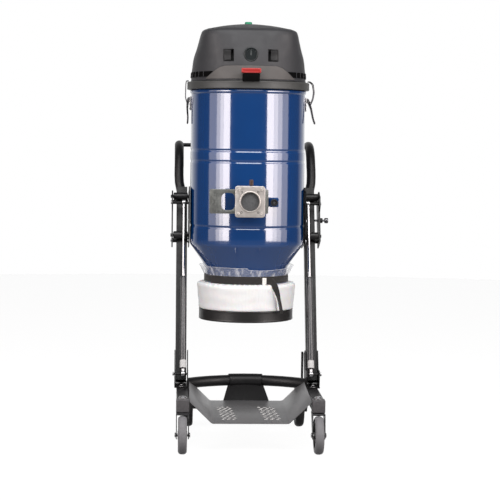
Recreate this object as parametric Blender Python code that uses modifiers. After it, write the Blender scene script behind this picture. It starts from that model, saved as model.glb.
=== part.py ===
"""Upright dust collector: a steel tank on a wheeled lifting frame, with a hinged hood and a bag outlet."""
import math

import bmesh
import bpy
from mathutils import Matrix, Vector

for left in list(bpy.data.objects):
    bpy.data.objects.remove(left, do_unlink=True)

# Driving dimensions in millimetres. The tank's axis is X = 0, Y = 0 here, the floor is Z = 0.
SHIFT_X = -14.5          # these two move the whole machine, its lock knob included, so that the centre of its
SHIFT_Y = 104.5          # outer box stands over the origin
TANK_R = 200.0
TANK_TOP = 1199.0
CONE_TOP = 663.0
CONE_LOW = 585.0
NECK_R = 145.0
NECK_LOW = 405.0
BEADS = (989.0, 951.0, 726.0)
LEAN = math.radians(21.0)
FOOT = (-115.0, 176.0)
UPRIGHT_X = 228.0
UPRIGHT_HALF = 19.0
BASE_X = 223.0
STRUT_F = 60.0
STRUT_X = 221.0
RIM_R = 214.0
AXLE = (75.0, 75.0)
CASTER_Y = -425.0
CASTER_AXLE = (-460.0, 62.5)
INLET_Z = 818.0
SEG = 28
HOOD = (
    (1228.0, 200.0, 200.0, 2.0),
    (1245.0, 200.0, 200.0, 2.0),
    (1273.0, 197.0, 193.0, 2.12),
    (1308.0, 192.0, 186.0, 2.25),
    (1343.0, 181.0, 176.0, 2.4),
    (1371.0, 174.0, 168.0, 2.6),
    (1394.0, 169.0, 162.0, 2.8),
    (1409.0, 159.0, 152.0, 3.0),
    (1419.0, 132.0, 126.0, 3.0),
    (1426.0, 75.0, 71.0, 2.6),
)

PARTS = bpy.data.collections.new("dust_collector")
CUTTERS = bpy.data.collections.new("cutters")
bpy.context.scene.collection.children.link(PARTS)
bpy.context.scene.collection.children.link(CUTTERS)
MATERIALS = {}


def at(x, y, z):
    return Vector((x + SHIFT_X, y + SHIFT_Y, z)) * 0.001


def along(x, s, f):
    """A point of the leaning side frame: s along the upright from its foot, f in front of its centre."""
    y = FOOT[0] + s * math.sin(LEAN) - f * math.cos(LEAN)
    z = FOOT[1] + s * math.cos(LEAN) + f * math.sin(LEAN)
    return x, y, z


def material(slot, rgb, rough, metal):
    if slot in MATERIALS:
        return MATERIALS[slot]
    made = bpy.data.materials.new(slot)
    made.use_nodes = True
    shader = made.node_tree.nodes["Principled BSDF"]
    shader.inputs["Base Color"].default_value = (*rgb, 1.0)
    shader.inputs["Roughness"].default_value = rough
    shader.inputs["Metallic"].default_value = metal
    made.diffuse_color = (*rgb, 1.0)
    MATERIALS[slot] = made
    return made


SLOTS = {
    "tank_blue": ((0.02, 0.06, 0.24), 0.25, 0.0),
    "frame_black": ((0.02, 0.02, 0.022), 0.4, 0.0),
    "hood_grey": ((0.065, 0.065, 0.068), 0.5, 0.0),
    "fascia_grey": ((0.13, 0.12, 0.11), 0.5, 0.0),
    "rim_grey": ((0.11, 0.11, 0.105), 0.5, 0.0),
    "black_plastic": ((0.015, 0.015, 0.016), 0.45, 0.0),
    "red_plastic": ((0.58, 0.04, 0.04), 0.35, 0.0),
    "green_plastic": ((0.01, 0.26, 0.13), 0.35, 0.0),
    "tray_steel": ((0.12, 0.12, 0.125), 0.45, 0.0),
    "zinc": ((0.55, 0.55, 0.56), 0.35, 1.0),
    "strut_grey": ((0.1, 0.1, 0.105), 0.3, 0.0),
    "chrome": ((0.8, 0.8, 0.82), 0.08, 1.0),
    "flange_alu": ((0.68, 0.64, 0.6), 0.35, 1.0),
    "gate_zinc": ((0.4, 0.4, 0.38), 0.4, 1.0),
    "grey_tyre": ((0.19, 0.19, 0.2), 0.7, 0.0),
    "black_tyre": ((0.02, 0.02, 0.02), 0.7, 0.0),
    "bag_white": ((0.85, 0.85, 0.86), 0.6, 0.0),
    "film_clear": ((0.8, 0.82, 0.86), 0.2, 0.0),
    "strap_black": ((0.03, 0.028, 0.028), 0.8, 0.0),
    "filter_white": ((0.75, 0.74, 0.7), 0.9, 0.0),
    "motor_metal": ((0.3, 0.3, 0.31), 0.5, 1.0),
    "dial_black": ((0.02, 0.02, 0.02), 0.3, 0.0),
}


def place(obj, slot=None, origin=None, angle=None):
    """Link an object, give it its material and put its origin on a stated point."""
    if slot:
        PARTS.objects.link(obj)
        obj.data.materials.append(material(slot, *SLOTS[slot]))
    else:
        CUTTERS.objects.link(obj)
        obj.hide_render = True
        obj.display_type = "WIRE"
    turned = any(m.type == "SCREW" for m in obj.modifiers)
    if origin is not None and not turned:
        spot = at(*origin)
        obj.data.transform(Matrix.Translation(-spot))
        obj.location = spot
    if angle and not turned:
        obj.data.shade_smooth()
        obj.data.set_sharp_from_angle(angle=math.radians(angle))
    return obj


def from_bmesh(name, bm):
    data = bpy.data.meshes.new(name)
    bmesh.ops.recalc_face_normals(bm, faces=bm.faces[:])
    bm.to_mesh(data)
    bm.free()
    return bpy.data.objects.new(name, data)


def box(name, low, high, bevel=0.0):
    bm = bmesh.new()
    bmesh.ops.create_cube(bm, size=1.0)
    size = [h - l for l, h in zip(low, high)]
    mid = at(*[(l + h) / 2 for l, h in zip(low, high)])
    bmesh.ops.scale(bm, vec=Vector(size) * 0.001, verts=bm.verts[:])
    if bevel:
        bmesh.ops.bevel(bm, geom=bm.edges[:], offset=bevel * 0.001, segments=1, affect="EDGES", profile=0.5)
    bmesh.ops.translate(bm, vec=mid, verts=bm.verts[:])
    return from_bmesh(name, bm)


def rod(name, start, end, r, seg=12, bevel=0.0):
    a, b = at(*start), at(*end)
    bm = bmesh.new()
    depth = (b - a).length
    bmesh.ops.create_cone(bm, cap_ends=True, segments=seg, radius1=r * 0.001, radius2=r * 0.001, depth=depth)
    if bevel:
        rims = [e for e in bm.edges if abs(e.verts[0].co.z - e.verts[1].co.z) < 1e-9]
        bmesh.ops.bevel(bm, geom=rims, offset=bevel * 0.001, segments=2, affect="EDGES", profile=0.5)
    turn = Vector((0, 0, 1)).rotation_difference((b - a).normalized()).to_matrix().to_4x4()
    bmesh.ops.transform(bm, matrix=Matrix.Translation((a + b) / 2) @ turn, verts=bm.verts[:])
    return from_bmesh(name, bm)


def lathe(name, centre, axis, profile, seg=SEG, closed=True):
    """Turn a profile of (radius, height) about an axis. A closed profile is a ring; an open one starts and ends on it."""
    area = 0.0
    for (r0, h0), (r1, h1) in zip(profile, profile[1:] + profile[:1]):
        area += r0 * h1 - r1 * h0
    if area > 0:
        profile = profile[::-1]
    bm = bmesh.new()
    points = [bm.verts.new((r * 0.001, 0, h * 0.001)) for r, h in profile]
    for one, two in zip(points, points[1:]):
        bm.edges.new((one, two))
    if closed:
        bm.edges.new((points[-1], points[0]))
    data = bpy.data.meshes.new(name)
    bm.to_mesh(data)
    bm.free()
    obj = bpy.data.objects.new(name, data)
    obj.location = at(*centre)
    obj.rotation_mode = "QUATERNION"
    obj.rotation_quaternion = Vector((0, 0, 1)).rotation_difference(Vector(axis))
    screw = obj.modifiers.new("turn", "SCREW")
    screw.steps = seg
    screw.render_steps = seg
    screw.use_merge_vertices = True
    screw.merge_threshold = 0.00001
    screw.use_smooth_shade = True
    return obj


def mesh_of_curve(name, curve, matrix):
    """The mesh of a curve object, with its caps welded on."""
    guide = bpy.data.objects.new(name, curve)
    CUTTERS.objects.link(guide)
    guide.matrix_world = matrix
    bpy.context.view_layer.update()
    seen = guide.evaluated_get(bpy.context.evaluated_depsgraph_get())
    data = bpy.data.meshes.new_from_object(seen)
    bpy.data.objects.remove(guide, do_unlink=True)
    bm = bmesh.new()
    bm.from_mesh(data)
    bpy.data.meshes.remove(data)
    bmesh.ops.remove_doubles(bm, verts=bm.verts[:], dist=0.000005)
    bmesh.ops.transform(bm, matrix=matrix, verts=bm.verts[:])
    return bm


def new_spline(curve, points, cyclic):
    spline = curve.splines.new("POLY")
    spline.points.add(len(points) - 1)
    for knot, point in zip(spline.points, points):
        knot.co = (*point, 1.0)
    spline.use_cyclic_u = cyclic


def plate(name, outline, low, high, axis="X"):
    """Extrude a flat outline. Axis X takes (y, z) points, Y takes (x, z) and Z takes (x, y)."""
    curve = bpy.data.curves.new(name, "CURVE")
    curve.dimensions = "2D"
    curve.fill_mode = "BOTH"
    curve.extrude = abs(high - low) * 0.0005
    new_spline(curve, [(u * 0.001, v * 0.001, 0.0) for u, v in outline], True)
    mid = (low + high) / 2
    turn, centre = {
        "X": (Matrix(((0, 0, 1), (1, 0, 0), (0, 1, 0))), at(mid, 0, 0)),
        "Y": (Matrix(((1, 0, 0), (0, 0, -1), (0, 1, 0))), at(0, mid, 0)),
        "Z": (Matrix.Identity(3), at(0, 0, mid)),
    }[axis]
    bm = mesh_of_curve(name, curve, Matrix.Translation(centre) @ turn.to_4x4())
    return from_bmesh(name, bm)


def sweep(name, path, r, seg=16):
    """A round bar along a path of points. The number of sides is even, from 8 up."""
    curve = bpy.data.curves.new(name, "CURVE")
    curve.dimensions = "3D"
    curve.bevel_depth = r * 0.001
    curve.bevel_resolution = max(2, seg // 2 - 2)
    curve.use_fill_caps = True
    new_spline(curve, [at(*p) for p in path], False)
    return from_bmesh(name, mesh_of_curve(name, curve, Matrix.Identity(4)))


def skin(bm, low, high):
    """Join two rings of vertices, the second of which may be a single point."""
    n = len(low)
    for k in range(n):
        m = (k + 1) % n
        if len(high) == 1:
            bm.faces.new((low[k], low[m], high[0]))
        else:
            bm.faces.new((low[k], low[m], high[m], high[k]))


def combine(target, others, operation):
    for k, other in enumerate(others):
        if other.name not in CUTTERS.objects:
            place(other)
        mod = target.modifiers.new(f"{operation.lower()}_{k}", "BOOLEAN")
        mod.operation = operation
        mod.solver = "EXACT"
        mod.object = other
    return target


def cut(target, *others):
    return combine(target, others, "DIFFERENCE")


def unite(target, *others):
    return combine(target, others, "UNION")


def keep(target, *others):
    return combine(target, others, "INTERSECT")


def fillet_path(points, radius, steps=6):
    """Round a path's inner corners."""
    made = [points[0]]
    for before, corner, after in zip(points, points[1:], points[2:]):
        c = Vector(corner)
        a = (Vector(before) - c)
        b = (Vector(after) - c)
        reach = min(radius, a.length * 0.49, b.length * 0.49)
        p, q = c + a.normalized() * reach, c + b.normalized() * reach
        for k in range(steps + 1):
            t = k / steps
            made.append(tuple(p * (1 - t) ** 2 + c * 2 * t * (1 - t) + q * t * t))
    made.append(points[-1])
    return made


def sides():
    return (("L", -1.0), ("R", 1.0))


def span(side, a, b):
    """The low and high X of a piece that runs from a to b on a stated side."""
    return (min(side * a, side * b), max(side * a, side * b))


# ---------------------------------------------------------------- frame

def base_tube(tag, side):
    lo, hi = span(side, BASE_X - 20, BASE_X + 20)
    tube = box(f"base_tube_{tag}", (lo, -450, 137), (hi, -10, 176), 2.0)
    bore = box("cut_base", (lo + 3, -460, 140), (hi - 3, 10, 173))
    cut(tube, bore, rod("cut_stem", (side * BASE_X, CASTER_Y, 120), (side * BASE_X, CASTER_Y, 190), 8.4, 16))
    x = side * BASE_X
    cap = box("add_cap", (x - 21, -455, 136), (x + 21, -449, 177), 1.5)
    lo, hi = span(side, 219.5, 227.5)
    web = plate("add_axle_plate", arm_outline(), lo, hi, "X")
    foot = box("add_foot", (x - 20, -11, 137), (x + 20, -4.5, 176))
    unite(tube, cap, foot, web)
    cut(tube, rod("cut_axle", (lo - 5, *AXLE), (hi + 5, *AXLE), 10.5, 20))
    return place(tube, "frame_black", (side * BASE_X, -230, 156.5))


def arm_outline():
    """The rear axle plate: a bar from the base tube's end that runs down and back around the axle."""
    points = [(-7.5, 175), (-7.5, 138)]
    for k in range(7):
        a = math.radians(200 + k * 30)
        points.append((AXLE[0] + 22 * math.cos(a), AXLE[1] + 22 * math.sin(a)))
    return points


def foot_bracket(tag, side):
    def ear():
        pts = []
        for s, g in ((18, -24), (120, -24), (120, 22), (50, 30), (36, STRUT_F + 12), (14, STRUT_F + 12)):
            pts.append(along(0, s, g)[1:])
        pts.append((-168, 177.6))
        pts.append((-84, 177.6))
        return pts
    lo, hi = span(side, 203.0, 206.5)
    inner = plate(f"foot_bracket_{tag}", ear(), lo, hi, "X")
    lo2, hi2 = span(side, 247.4, 250.4)
    outer = plate("add_outer", ear(), lo2, hi2, "X")
    low, high = span(side, 203.6, 249.9)
    base = box("add_base", (low, -186, 176.3), (high, -58 if side > 0 else -66, 180.3))
    eye = along(0, 26, STRUT_F)
    pin_lo, pin_hi = span(side, 204.0, 257.0)
    pin = rod("add_pin", (pin_lo, *eye[1:]), (pin_hi, *eye[1:]), 4.0, 16)
    unite(inner, outer, base, pin)
    for y in (-178, -74):
        unite(inner, rod("add_bolt", (side * 226, y, 179), (side * 226, y, 186), 7.0, 6))
    if side > 0:
        unite(inner, rod("add_post", (198, -56, 178), (198, -56, 287), 4.0, 12),
              box("add_tab", (193, -70, 177), (204, -46, 186)))
    return place(inner, "frame_black", (side * 226.7, -120, 178))


def upright(tag, side):
    bottom = along(side * UPRIGHT_X, 14, 0)
    outer = lean_tube(f"upright_{tag}", side * UPRIGHT_X, 14, 722, UPRIGHT_HALF, 1.6)
    inner = lean_tube("cut_upright", side * UPRIGHT_X, 4, 740, UPRIGHT_HALF - 2.0, 0)
    cut(outer, inner)
    if side > 0:
        for s in (605, 505, 405):
            p = along(0, s, 0)
            cut(outer, rod("cut_index", (UPRIGHT_X + 10, *p[1:]), (UPRIGHT_X + 30, *p[1:]), 4.6, 12))
    return place(outer, "frame_black", bottom)


def lean_tube(name, x, s0, s1, half, bevel):
    a, b = at(*along(x, s0, 0)), at(*along(x, s1, 0))
    bm = bmesh.new()
    bmesh.ops.create_cube(bm, size=1.0)
    bmesh.ops.scale(bm, vec=(half * 0.002, half * 0.002, (b - a).length), verts=bm.verts[:])
    if bevel:
        edges = [e for e in bm.edges if abs(e.verts[0].co.z - e.verts[1].co.z) > 1e-6]
        bmesh.ops.bevel(bm, geom=edges, offset=bevel * 0.001, segments=2, affect="EDGES", profile=0.5)
    turn = Matrix.Rotation(-LEAN, 4, "X")
    bmesh.ops.transform(bm, matrix=Matrix.Translation((a + b) / 2) @ turn, verts=bm.verts[:])
    return from_bmesh(name, bm)


def handle_arm(tag, side):
    start = along(side * UPRIGHT_X, 690, 0)
    knee = along(side * UPRIGHT_X, 735, 0)
    out = along(side * 236.0, 800, 0)
    path = [start, knee, out]
    bend = 130.0
    for k in range(1, 7):
        e = math.radians(69 * (1 - k / 6))
        full = math.radians(69)
        y = out[1] + bend * (math.sin(full) - math.sin(e))
        z = out[2] + bend * (math.cos(e) - math.cos(full))
        path.append((side * 236.0, y, z))
    path.append((side * 236.0, path[-1][1] + 22, path[-1][2]))
    return sweep(f"handle_arm_{tag}", path, 16.6, 10), path


def handle():
    """Two bent arms from the uprights' tops, a crossbar behind the tank and a grip on it."""
    left, path = handle_arm("L", -1.0)
    right, path = handle_arm("R", 1.0)
    y, z = path[-2][1] + 8, path[-2][2]
    left.name = "handle"
    unite(left, rod("add_crossbar", (-230, y, z), (230, y, z), 7.0, 16), right)
    grip = rod("handle_grip", (-110, y, z), (110, y, z), 13.5, 16)
    cut(grip, rod("cut_grip", (-120, y, z), (120, y, z), 7.3, 16))
    place(grip, "black_plastic", (0, y, z), 40)
    return place(left, "frame_black", (0, y, z), 40)


def cross_path(half, steps):
    """The bowed cross tube: an arc from one foot to the other, bulging to the rear."""
    sag, reach = 82.0, 203.0
    bow = (reach * reach + sag * sag) / (2 * sag)
    far = math.asin(half / bow)
    path = []
    for k in range(steps + 1):
        a = far * (2 * k / steps - 1)
        path.append((bow * math.sin(a), -30.0 - bow + bow * math.cos(a), 182.0))
    return path


def cross_tube():
    tube = sweep("cross_tube", cross_path(216, 8), 19.0, 12)
    for tag, side in sides():
        lo, hi = span(side, 202.7, 260)
        cut(tube, box("cut_end", (lo, -190, 140), (hi, -60, 230)))
    return place(tube, "frame_black", (0, -30, 182), 40)


def tray_hanger():
    """A trapezoid plate from the cross tube down to the rear of the tray, with a sleeve around the tube."""
    sleeve = sweep("tray_hanger", cross_path(58, 3), 23.5, 12)
    web = bmesh.new()
    pts = [(-60, -44, 170), (60, -44, 170), (80, -103.6, 119.4), (-80, -103.6, 119.4)]
    top = [web.verts.new(at(x, y + 1.6, z + 3.0)) for x, y, z in pts]
    low = [web.verts.new(at(x, y - 1.2, z - 1.2)) for x, y, z in pts]
    web.faces.new(top)
    web.faces.new(low[::-1])
    skin(web, top, low)
    unite(sleeve, from_bmesh("add_web", web))
    cut(sleeve, sweep("cut_sleeve", cross_path(216, 8), 19.5, 12))
    return place(sleeve, "frame_black", (0, -44, 182), 40)


def tray():
    """A bent sheet under the bag outlet: flat floor and two sides at 45 degrees, sloping up to the rear."""
    t = 2.5
    up = [(-201, 72), (-127, 0), (127, 0), (201, 72)]
    back = [(201 - 1.75, 72 + 1.75), (127 - 1.04, t), (-127 + 1.04, t), (-201 + 1.75, 72 + 1.75)]
    sheet = bmesh.new()
    front_y, rear_y = -450.0, -106.0
    front = [sheet.verts.new(at(x, front_y, z + 98)) for x, z in up + back]
    rear = [sheet.verts.new(at(x, rear_y, z + 119)) for x, z in up + back]
    sheet.faces.new(front)
    sheet.faces.new(rear[::-1])
    skin(sheet, front, rear)
    pan = from_bmesh("tray", sheet)
    cut(pan, sweep("cut_relief", cross_path(216, 8), 20.5, 12))
    return place(pan, "tray_steel", (0, -278, 110))


def rear_axle():
    axle = rod("rear_axle", (-230, *AXLE), (230, *AXLE), 10.0, 24)
    unite(axle, rod("add_collar", (-181.5, *AXLE), (181.5, *AXLE), 13.0, 20))
    return place(axle, "zinc", (0, *AXLE), 40)


def rear_wheel(tag, side):
    x = side * 199.0
    wheel = lathe(f"rear_wheel_{tag}", (x, *AXLE), (1, 0, 0), [
        (10.15, -17), (21, -17), (22, -8), (46, -8), (47, -16), (70, -16), (75, -8),
        (75, 8), (70, 16), (47, 16), (46, 8), (22, 8), (21, 17), (10.15, 17)], 20)
    return place(wheel, "black_tyre", (x, *AXLE), 35)


def caster(tag, side):
    x = side * BASE_X
    cy, cz = CASTER_AXLE
    bolt = lathe(f"caster_bolt_{tag}", (x, CASTER_Y, 0), (0, 0, 1), [
        (0, 122.0), (11, 122.0), (11, 127.3), (8, 127.3), (8, 133.9), (15, 133.9), (15, 136.7),
        (8, 136.7), (8, 176.3), (14, 176.3), (14, 181), (9, 185.5), (0, 186)], 16, closed=False)
    place(bolt, "zinc", (x, CASTER_Y, 150), 35)
    fork = box(f"caster_fork_{tag}", (x - 21.5, CASTER_Y - 40, 127.6), (x + 21.5, CASTER_Y + 24, 133.6), 1.0)
    legs = []
    for s in (-1, 1):
        lo, hi = span(s, 18.3, 21.5)
        outline = [(CASTER_Y + 22, 128.4), (CASTER_Y - 39, 128.4)]
        for k in range(7):
            a = math.radians(170 + k * 30.7)
            outline.append((cy + 14 * math.cos(a), cz + 14 * math.sin(a)))
        legs.append(plate("add_leg", outline, x + lo, x + hi, "X"))
    pin = rod("add_axle", (x - 26, cy, cz), (x + 26, cy, cz), 5.0, 16)
    nuts = [rod("add_nut", (x + a, cy, cz), (x + b, cy, cz), 8.5, 6) for a, b in ((-25.5, -20), (20, 25.5))]
    unite(fork, *legs, pin, *nuts)
    cut(fork, rod("cut_king", (x, CASTER_Y, 120), (x, CASTER_Y, 140), 8.2, 16))
    place(fork, "zinc", (x, CASTER_Y, 130), 30)
    wheel = lathe(f"caster_wheel_{tag}", (x, cy, cz), (1, 0, 0), [
        (5.1, -16), (14, -16), (15, -8), (39, -8), (40, -15), (57, -15), (62.5, -7),
        (62.5, 7), (57, 15), (40, 15), (39, 8), (15, 8), (14, 16), (5.1, 16)], 20)
    return place(wheel, "grey_tyre", (x, cy, cz), 35)


def strut(tag, side):
    x = side * STRUT_X
    a, b = along(x, 43, STRUT_F), along(x, 375, STRUT_F)
    body = rod(f"strut_cylinder_{tag}", a, b, 11.0, 20)
    eye = along(x, 26, STRUT_F)
    lug = rod("add_lug", (x - 6, *eye[1:]), (x + 6, *eye[1:]), 10.0, 16)
    neck = rod("add_neck", eye, along(x, 46, STRUT_F), 6.0, 12)
    unite(body, neck, lug)
    hole = rod("cut_lug", (x - 16, *eye[1:]), (x + 16, *eye[1:]), 4.3, 20)
    well = rod("cut_well", along(x, 62, STRUT_F), along(x, 380, STRUT_F), 5.3, 16)
    cut(body, hole, well)
    place(body, "strut_grey", eye, 35)
    piston = rod(f"strut_rod_{tag}", along(x, 330, STRUT_F), along(x, 636, STRUT_F), 5.0, 16)
    head = along(x, 648, STRUT_F)
    lug = rod("add_rodlug", (x - 6, *head[1:]), (x + 6, *head[1:]), 10.0, 16)
    unite(piston, rod("add_rodneck", along(x, 628, STRUT_F), head, 6.5, 12), lug)
    cut(piston, rod("cut_rodlug", (x - 16, *head[1:]), (x + 16, *head[1:]), 5.3, 20))
    return place(piston, "chrome", head, 35)


# ---------------------------------------------------------------- carriage and tank

def carriage(tag, side):
    def outline():
        pts = []
        for s, f in ((512, -38), (700, -38), (700, 40), (662, STRUT_F + 14), (636, STRUT_F + 14), (620, 50), (512, 50)):
            pts.append(along(0, s, f)[1:])
        return pts
    lo, hi = span(side, 259.5, 264.5)
    outer = plate(f"carriage_{tag}", outline(), lo, hi, "X")
    inner_points = outline()[:4] + [(-10, 862), (-52, 850), (-52, 700), (-10, 664)]
    lo2, hi2 = span(side, 201.0, 205.2)
    inner = plate("add_inner", inner_points, lo2, hi2, "X")
    unite(outer, inner)
    for s in (535, 680):
        for f, r in ((UPRIGHT_HALF + 14.6, 6.0), (-UPRIGHT_HALF - 8.6, 8.0)):
            p = along(0, s, f)
            a, b = span(side, 203.0, 268.0 if f > 0 else 262.0)
            unite(outer, rod("add_shaft", (a, *p[1:]), (b, *p[1:]), r, 10))
    p = along(0, 648, STRUT_F)
    a, b = span(side, 203.0, 262.0)
    unite(outer, rod("add_strutpin", (a, *p[1:]), (b, *p[1:]), 5.0, 16))
    if side > 0:
        p = along(0, 605, 0)
        barrel = rod("add_barrel", (262, *p[1:]), (276.5, *p[1:]), 9.0, 20)
        unite(outer, barrel)
        cut(outer, rod("cut_barrel", (240, *p[1:]), (300, *p[1:]), 4.15, 18))
    return place(outer, "frame_black", along(side * 232, 605, 0))


def rollers(tag, side):
    for which, s in (("low", 535), ("top", 680)):
        p = along(0, s, UPRIGHT_HALF + 14.6)
        lo, hi = span(side, 206.0, 258.8)
        roll = lathe(f"guide_roller_{which}_{tag}", ((lo + hi) / 2, *p[1:]), (1, 0, 0), [
            (6.2, -26), (14, -26), (14, 26), (6.2, 26)], 14)
        place(roll, "black_plastic", ((lo + hi) / 2, *p[1:]), 35)


def lock_pin():
    p = along(0, 605, 0)
    pin = lathe("height_lock_pin", (0, *p[1:]), (1, 0, 0), [
        (0, 247.7), (3.2, 247.7), (4, 249), (4, 283), (9, 283.6), (10, 285), (10, 294), (8.5, 297), (0, 297)],
        18, closed=False)
    return place(pin, "zinc", (270, *p[1:]), 35)


def tank_profile():
    """Outer side from the neck's foot to the rolled top, then the inner side back down."""
    outer = [(NECK_R, NECK_LOW), (NECK_R, CONE_LOW - 4), (TANK_R, CONE_TOP)]
    for z in sorted(BEADS):
        outer += [(TANK_R, z - 6.0), (TANK_R - 1.7, z), (TANK_R, z + 6.0)]
    outer += [(TANK_R, TANK_TOP - 14), (TANK_R + 4, TANK_TOP - 9), (TANK_R + 4, TANK_TOP - 3), (TANK_R, TANK_TOP)]
    inner = [(TANK_R - 3, TANK_TOP), (TANK_R - 3, CONE_TOP), (NECK_R - 2.5, CONE_LOW - 5), (NECK_R - 2.5, NECK_LOW)]
    return outer + inner


def tank_shell():
    shell = lathe("tank_shell", (0, 0, 0), (0, 0, 1), tank_profile(), SEG)
    cut(shell, rod("cut_inlet", (0, -250, INLET_Z), (0, -150, INLET_Z), 36.9, 24))
    stud = plate("add_stud_plate", rounded(66, 98, INLET_Z - 18, INLET_Z + 14, 5), -177, -220, "Y")
    cut(stud, rod("cut_wall", (0, 0, INLET_Z - 30), (0, 0, INLET_Z + 30), TANK_R - 1.4, 96))
    unite(stud, rod("add_stud", (82, -215, INLET_Z - 2), (82, -238, INLET_Z - 2), 4.0, 20))
    unite(shell, stud)
    for tag, side in sides():
        unite(shell, latch_base(side))
    return place(shell, "tank_blue", (0, 0, 900), 25)


LATCH = (209.5, 1166.0)


def ends(side, points):
    return [(side * x, z) for x, z in points]


def latch_base(side):
    lo, hi = span(side, 198.8, 204.2)
    base = box("add_latch_base", (lo, -19, 1128), (hi, 19, 1176), 0.5)
    for y in (-17, 14.6):
        ear = ends(side, [(203, 1156), (203, 1174), (210, 1173), (214, 1168), (214, 1162), (210, 1157)])
        unite(base, plate("add_ear", ear, y, y + 2.4, "Y"))
    unite(base, rod("add_pivot", (side * LATCH[0], -16, LATCH[1]), (side * LATCH[0], 16, LATCH[1]), 2.0, 16))
    return base


def rounded(x0, x1, z0, z1, r, steps=2):
    pts = []
    for cx, cz, start in ((x1 - r, z1 - r, 0), (x0 + r, z1 - r, 90), (x0 + r, z0 + r, 180), (x1 - r, z0 + r, 270)):
        for k in range(steps + 1):
            a = math.radians(start + 90 * k / steps)
            pts.append((cx + r * math.cos(a), cz + r * math.sin(a)))
    return pts


def inlet():
    z = INLET_Z
    face = plate("inlet_flange", rounded(-50.5, 50.5, z - 53, z + 53, 8), -245, -235, "Y")
    ring = rod("add_ring", (0, -247.5, z), (0, -240, z), 36.0, 20)
    unite(face, ring)
    for x in (-28, 28):
        for dz in (-34, 34):
            unite(face, rod("add_bolt", (x, -248.5, z + dz), (x, -240, z + dz), 5.5, 6))
    cut(face, rod("cut_bore", (0, -260, z), (0, -200, z), 31.5, 20))
    cut(face, rod("cut_pin", (3.5, -240, z + 25), (3.5, -240, z + 60), 3.1, 16))
    neck = plate("add_neck", rounded(-50.5, 50.5, z - 53, z + 53, 8), -231, -224, "Y")
    pipe = rod("add_pipe", (0, -228, z), (0, -186, z), 36.0, 20)
    bars = [box("add_bar", (-44, -237, a), (44, -229, b)) for a, b in ((z - 52, z - 42), (z + 43, z + 52))]
    unite(neck, pipe, *bars)
    cut(neck, rod("cut_pipe", (0, -240, z), (0, -180, z), 31.5, 20))
    unite(face, neck)
    place(face, "flange_alu", (0, -240, z), 30)
    gate = plate("gate_slide", rounded(-138, 62, z - 41, z + 42, 6), -234.2, -231.4, "Y")
    cut(gate, plate("cut_window", rounded(-97, -51, z - 29, z + 29, 14), -240, -226, "Y"))
    place(gate, "gate_zinc", (-38, -233, z))
    pin = lathe("hose_lock_pin", (3.5, -240, 0), (0, 0, 1), [
        (0, 852.5), (3, 852.5), (3, 872.5), (6.5, 872.5), (7.5, 875), (7.5, 889), (6, 892.5), (0, 893)],
        16, closed=False)
    place(pin, "black_plastic", (3.5, -240, 880), 35)
    knob = lathe("gate_knob", (82, 0, z - 2), (0, 1, 0), [
        (4.1, -222), (9, -222), (12.5, -228), (12.5, -239), (10.5, -242), (7, -242), (6, -239.5), (4.1, -239.5)],
        20)
    return place(knob, "black_plastic", (82, -232, z - 2), 35)


def bag_outlet():
    collar = lathe("film_collar", (0, 0, 0), (0, 0, 1), [
        (148.6, 559), (150.5, 558), (161, 567), (166.5, 588), (164.5, 588.5), (159.5, 568)],
        SEG)
    place(collar, "film_clear", (0, 0, 572), 50)
    strap = lathe("bag_strap", (0, 0, 0), (0, 0, 1), [
        (145.4, 531), (149.5, 531), (149.5, 556), (145.4, 556)], SEG)
    buckle = box("add_buckle", (42, -153.5, 530), (66, -135, 552), 1.0)
    cut(buckle, rod("cut_buckle", (0, 0, 500), (0, 0, 580), 147.0, 72))
    unite(strap, buckle)
    place(strap, "strap_black", (0, 0, 543), 35)
    cassette = lathe("bag_cassette", (0, 0, 0), (0, 0, 1), [
        (145.4, 437), (168, 437), (172.5, 442), (173, 480), (172, 520), (166, 529), (145.4, 529.5)], SEG)
    place(cassette, "bag_white", (0, 0, 480), 50)
    ring = lathe("cassette_ring", (0, 0, 0), (0, 0, 1), [
        (140, 398.5), (163, 398), (166, 401), (166, 436), (145.4, 436.5), (145.4, 404.7), (140, 404.7)], SEG)
    return place(ring, "black_plastic", (0, 0, 418), 35)


# ---------------------------------------------------------------- head and hood

def head_base():
    """The clamped rim with the motor plate across it and the hinge ears at the rear."""
    base = lathe("head_base", (0, 0, 0), (0, 0, 1), [
        (0, 1203), (192, 1199.3), (212, 1199.3), (RIM_R, 1201.5), (RIM_R, 1224.5), (212, 1227),
        (190, 1227), (186, 1209), (0, 1209)], SEG, closed=False)
    for side in (-1, 1):
        lo, hi = span(side, 52, 60)
        ear = plate("add_ear", [(203, 1222), (219, 1222), (219, 1238), (213, 1243), (207, 1243), (203, 1238)],
                    lo, hi, "X")
        lo, hi = span(side, 30, 56)
        unite(base, ear, rod("add_pin", (lo, 211.5, 1236), (hi, 211.5, 1236), 3.0, 20))
    gland = lathe("add_gland", (110, 0, 1213), (0, 1, 0), [
        (0, 182.0), (9, 182.0), (9, 200), (12, 200), (10, 222), (4.5, 222), (4.5, 215), (0, 215)],
        12, closed=False)
    unite(base, gland)
    for x in (-78, 78):
        cut(base, rod("cut_draw", (x, 0, 1190), (x, 0, 1215), 30.0, 16))
    return place(base, "rim_grey", (0, 0, 1213), 30)


def hood_rings(grow, rise=0.0, low=None):
    """The hood's sections, larger or smaller all round. The inner side leaves out every other one."""
    made = []
    for k, (z, a, b, n) in enumerate(HOOD):
        if rise and k in (1, 2, 4, 6, 9):
            continue
        made.append((z + (rise if z > 1300 else 0.0), a + grow, b + grow, n))
    if low is not None:
        made[0] = (low, *made[0][1:])
    return made


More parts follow.
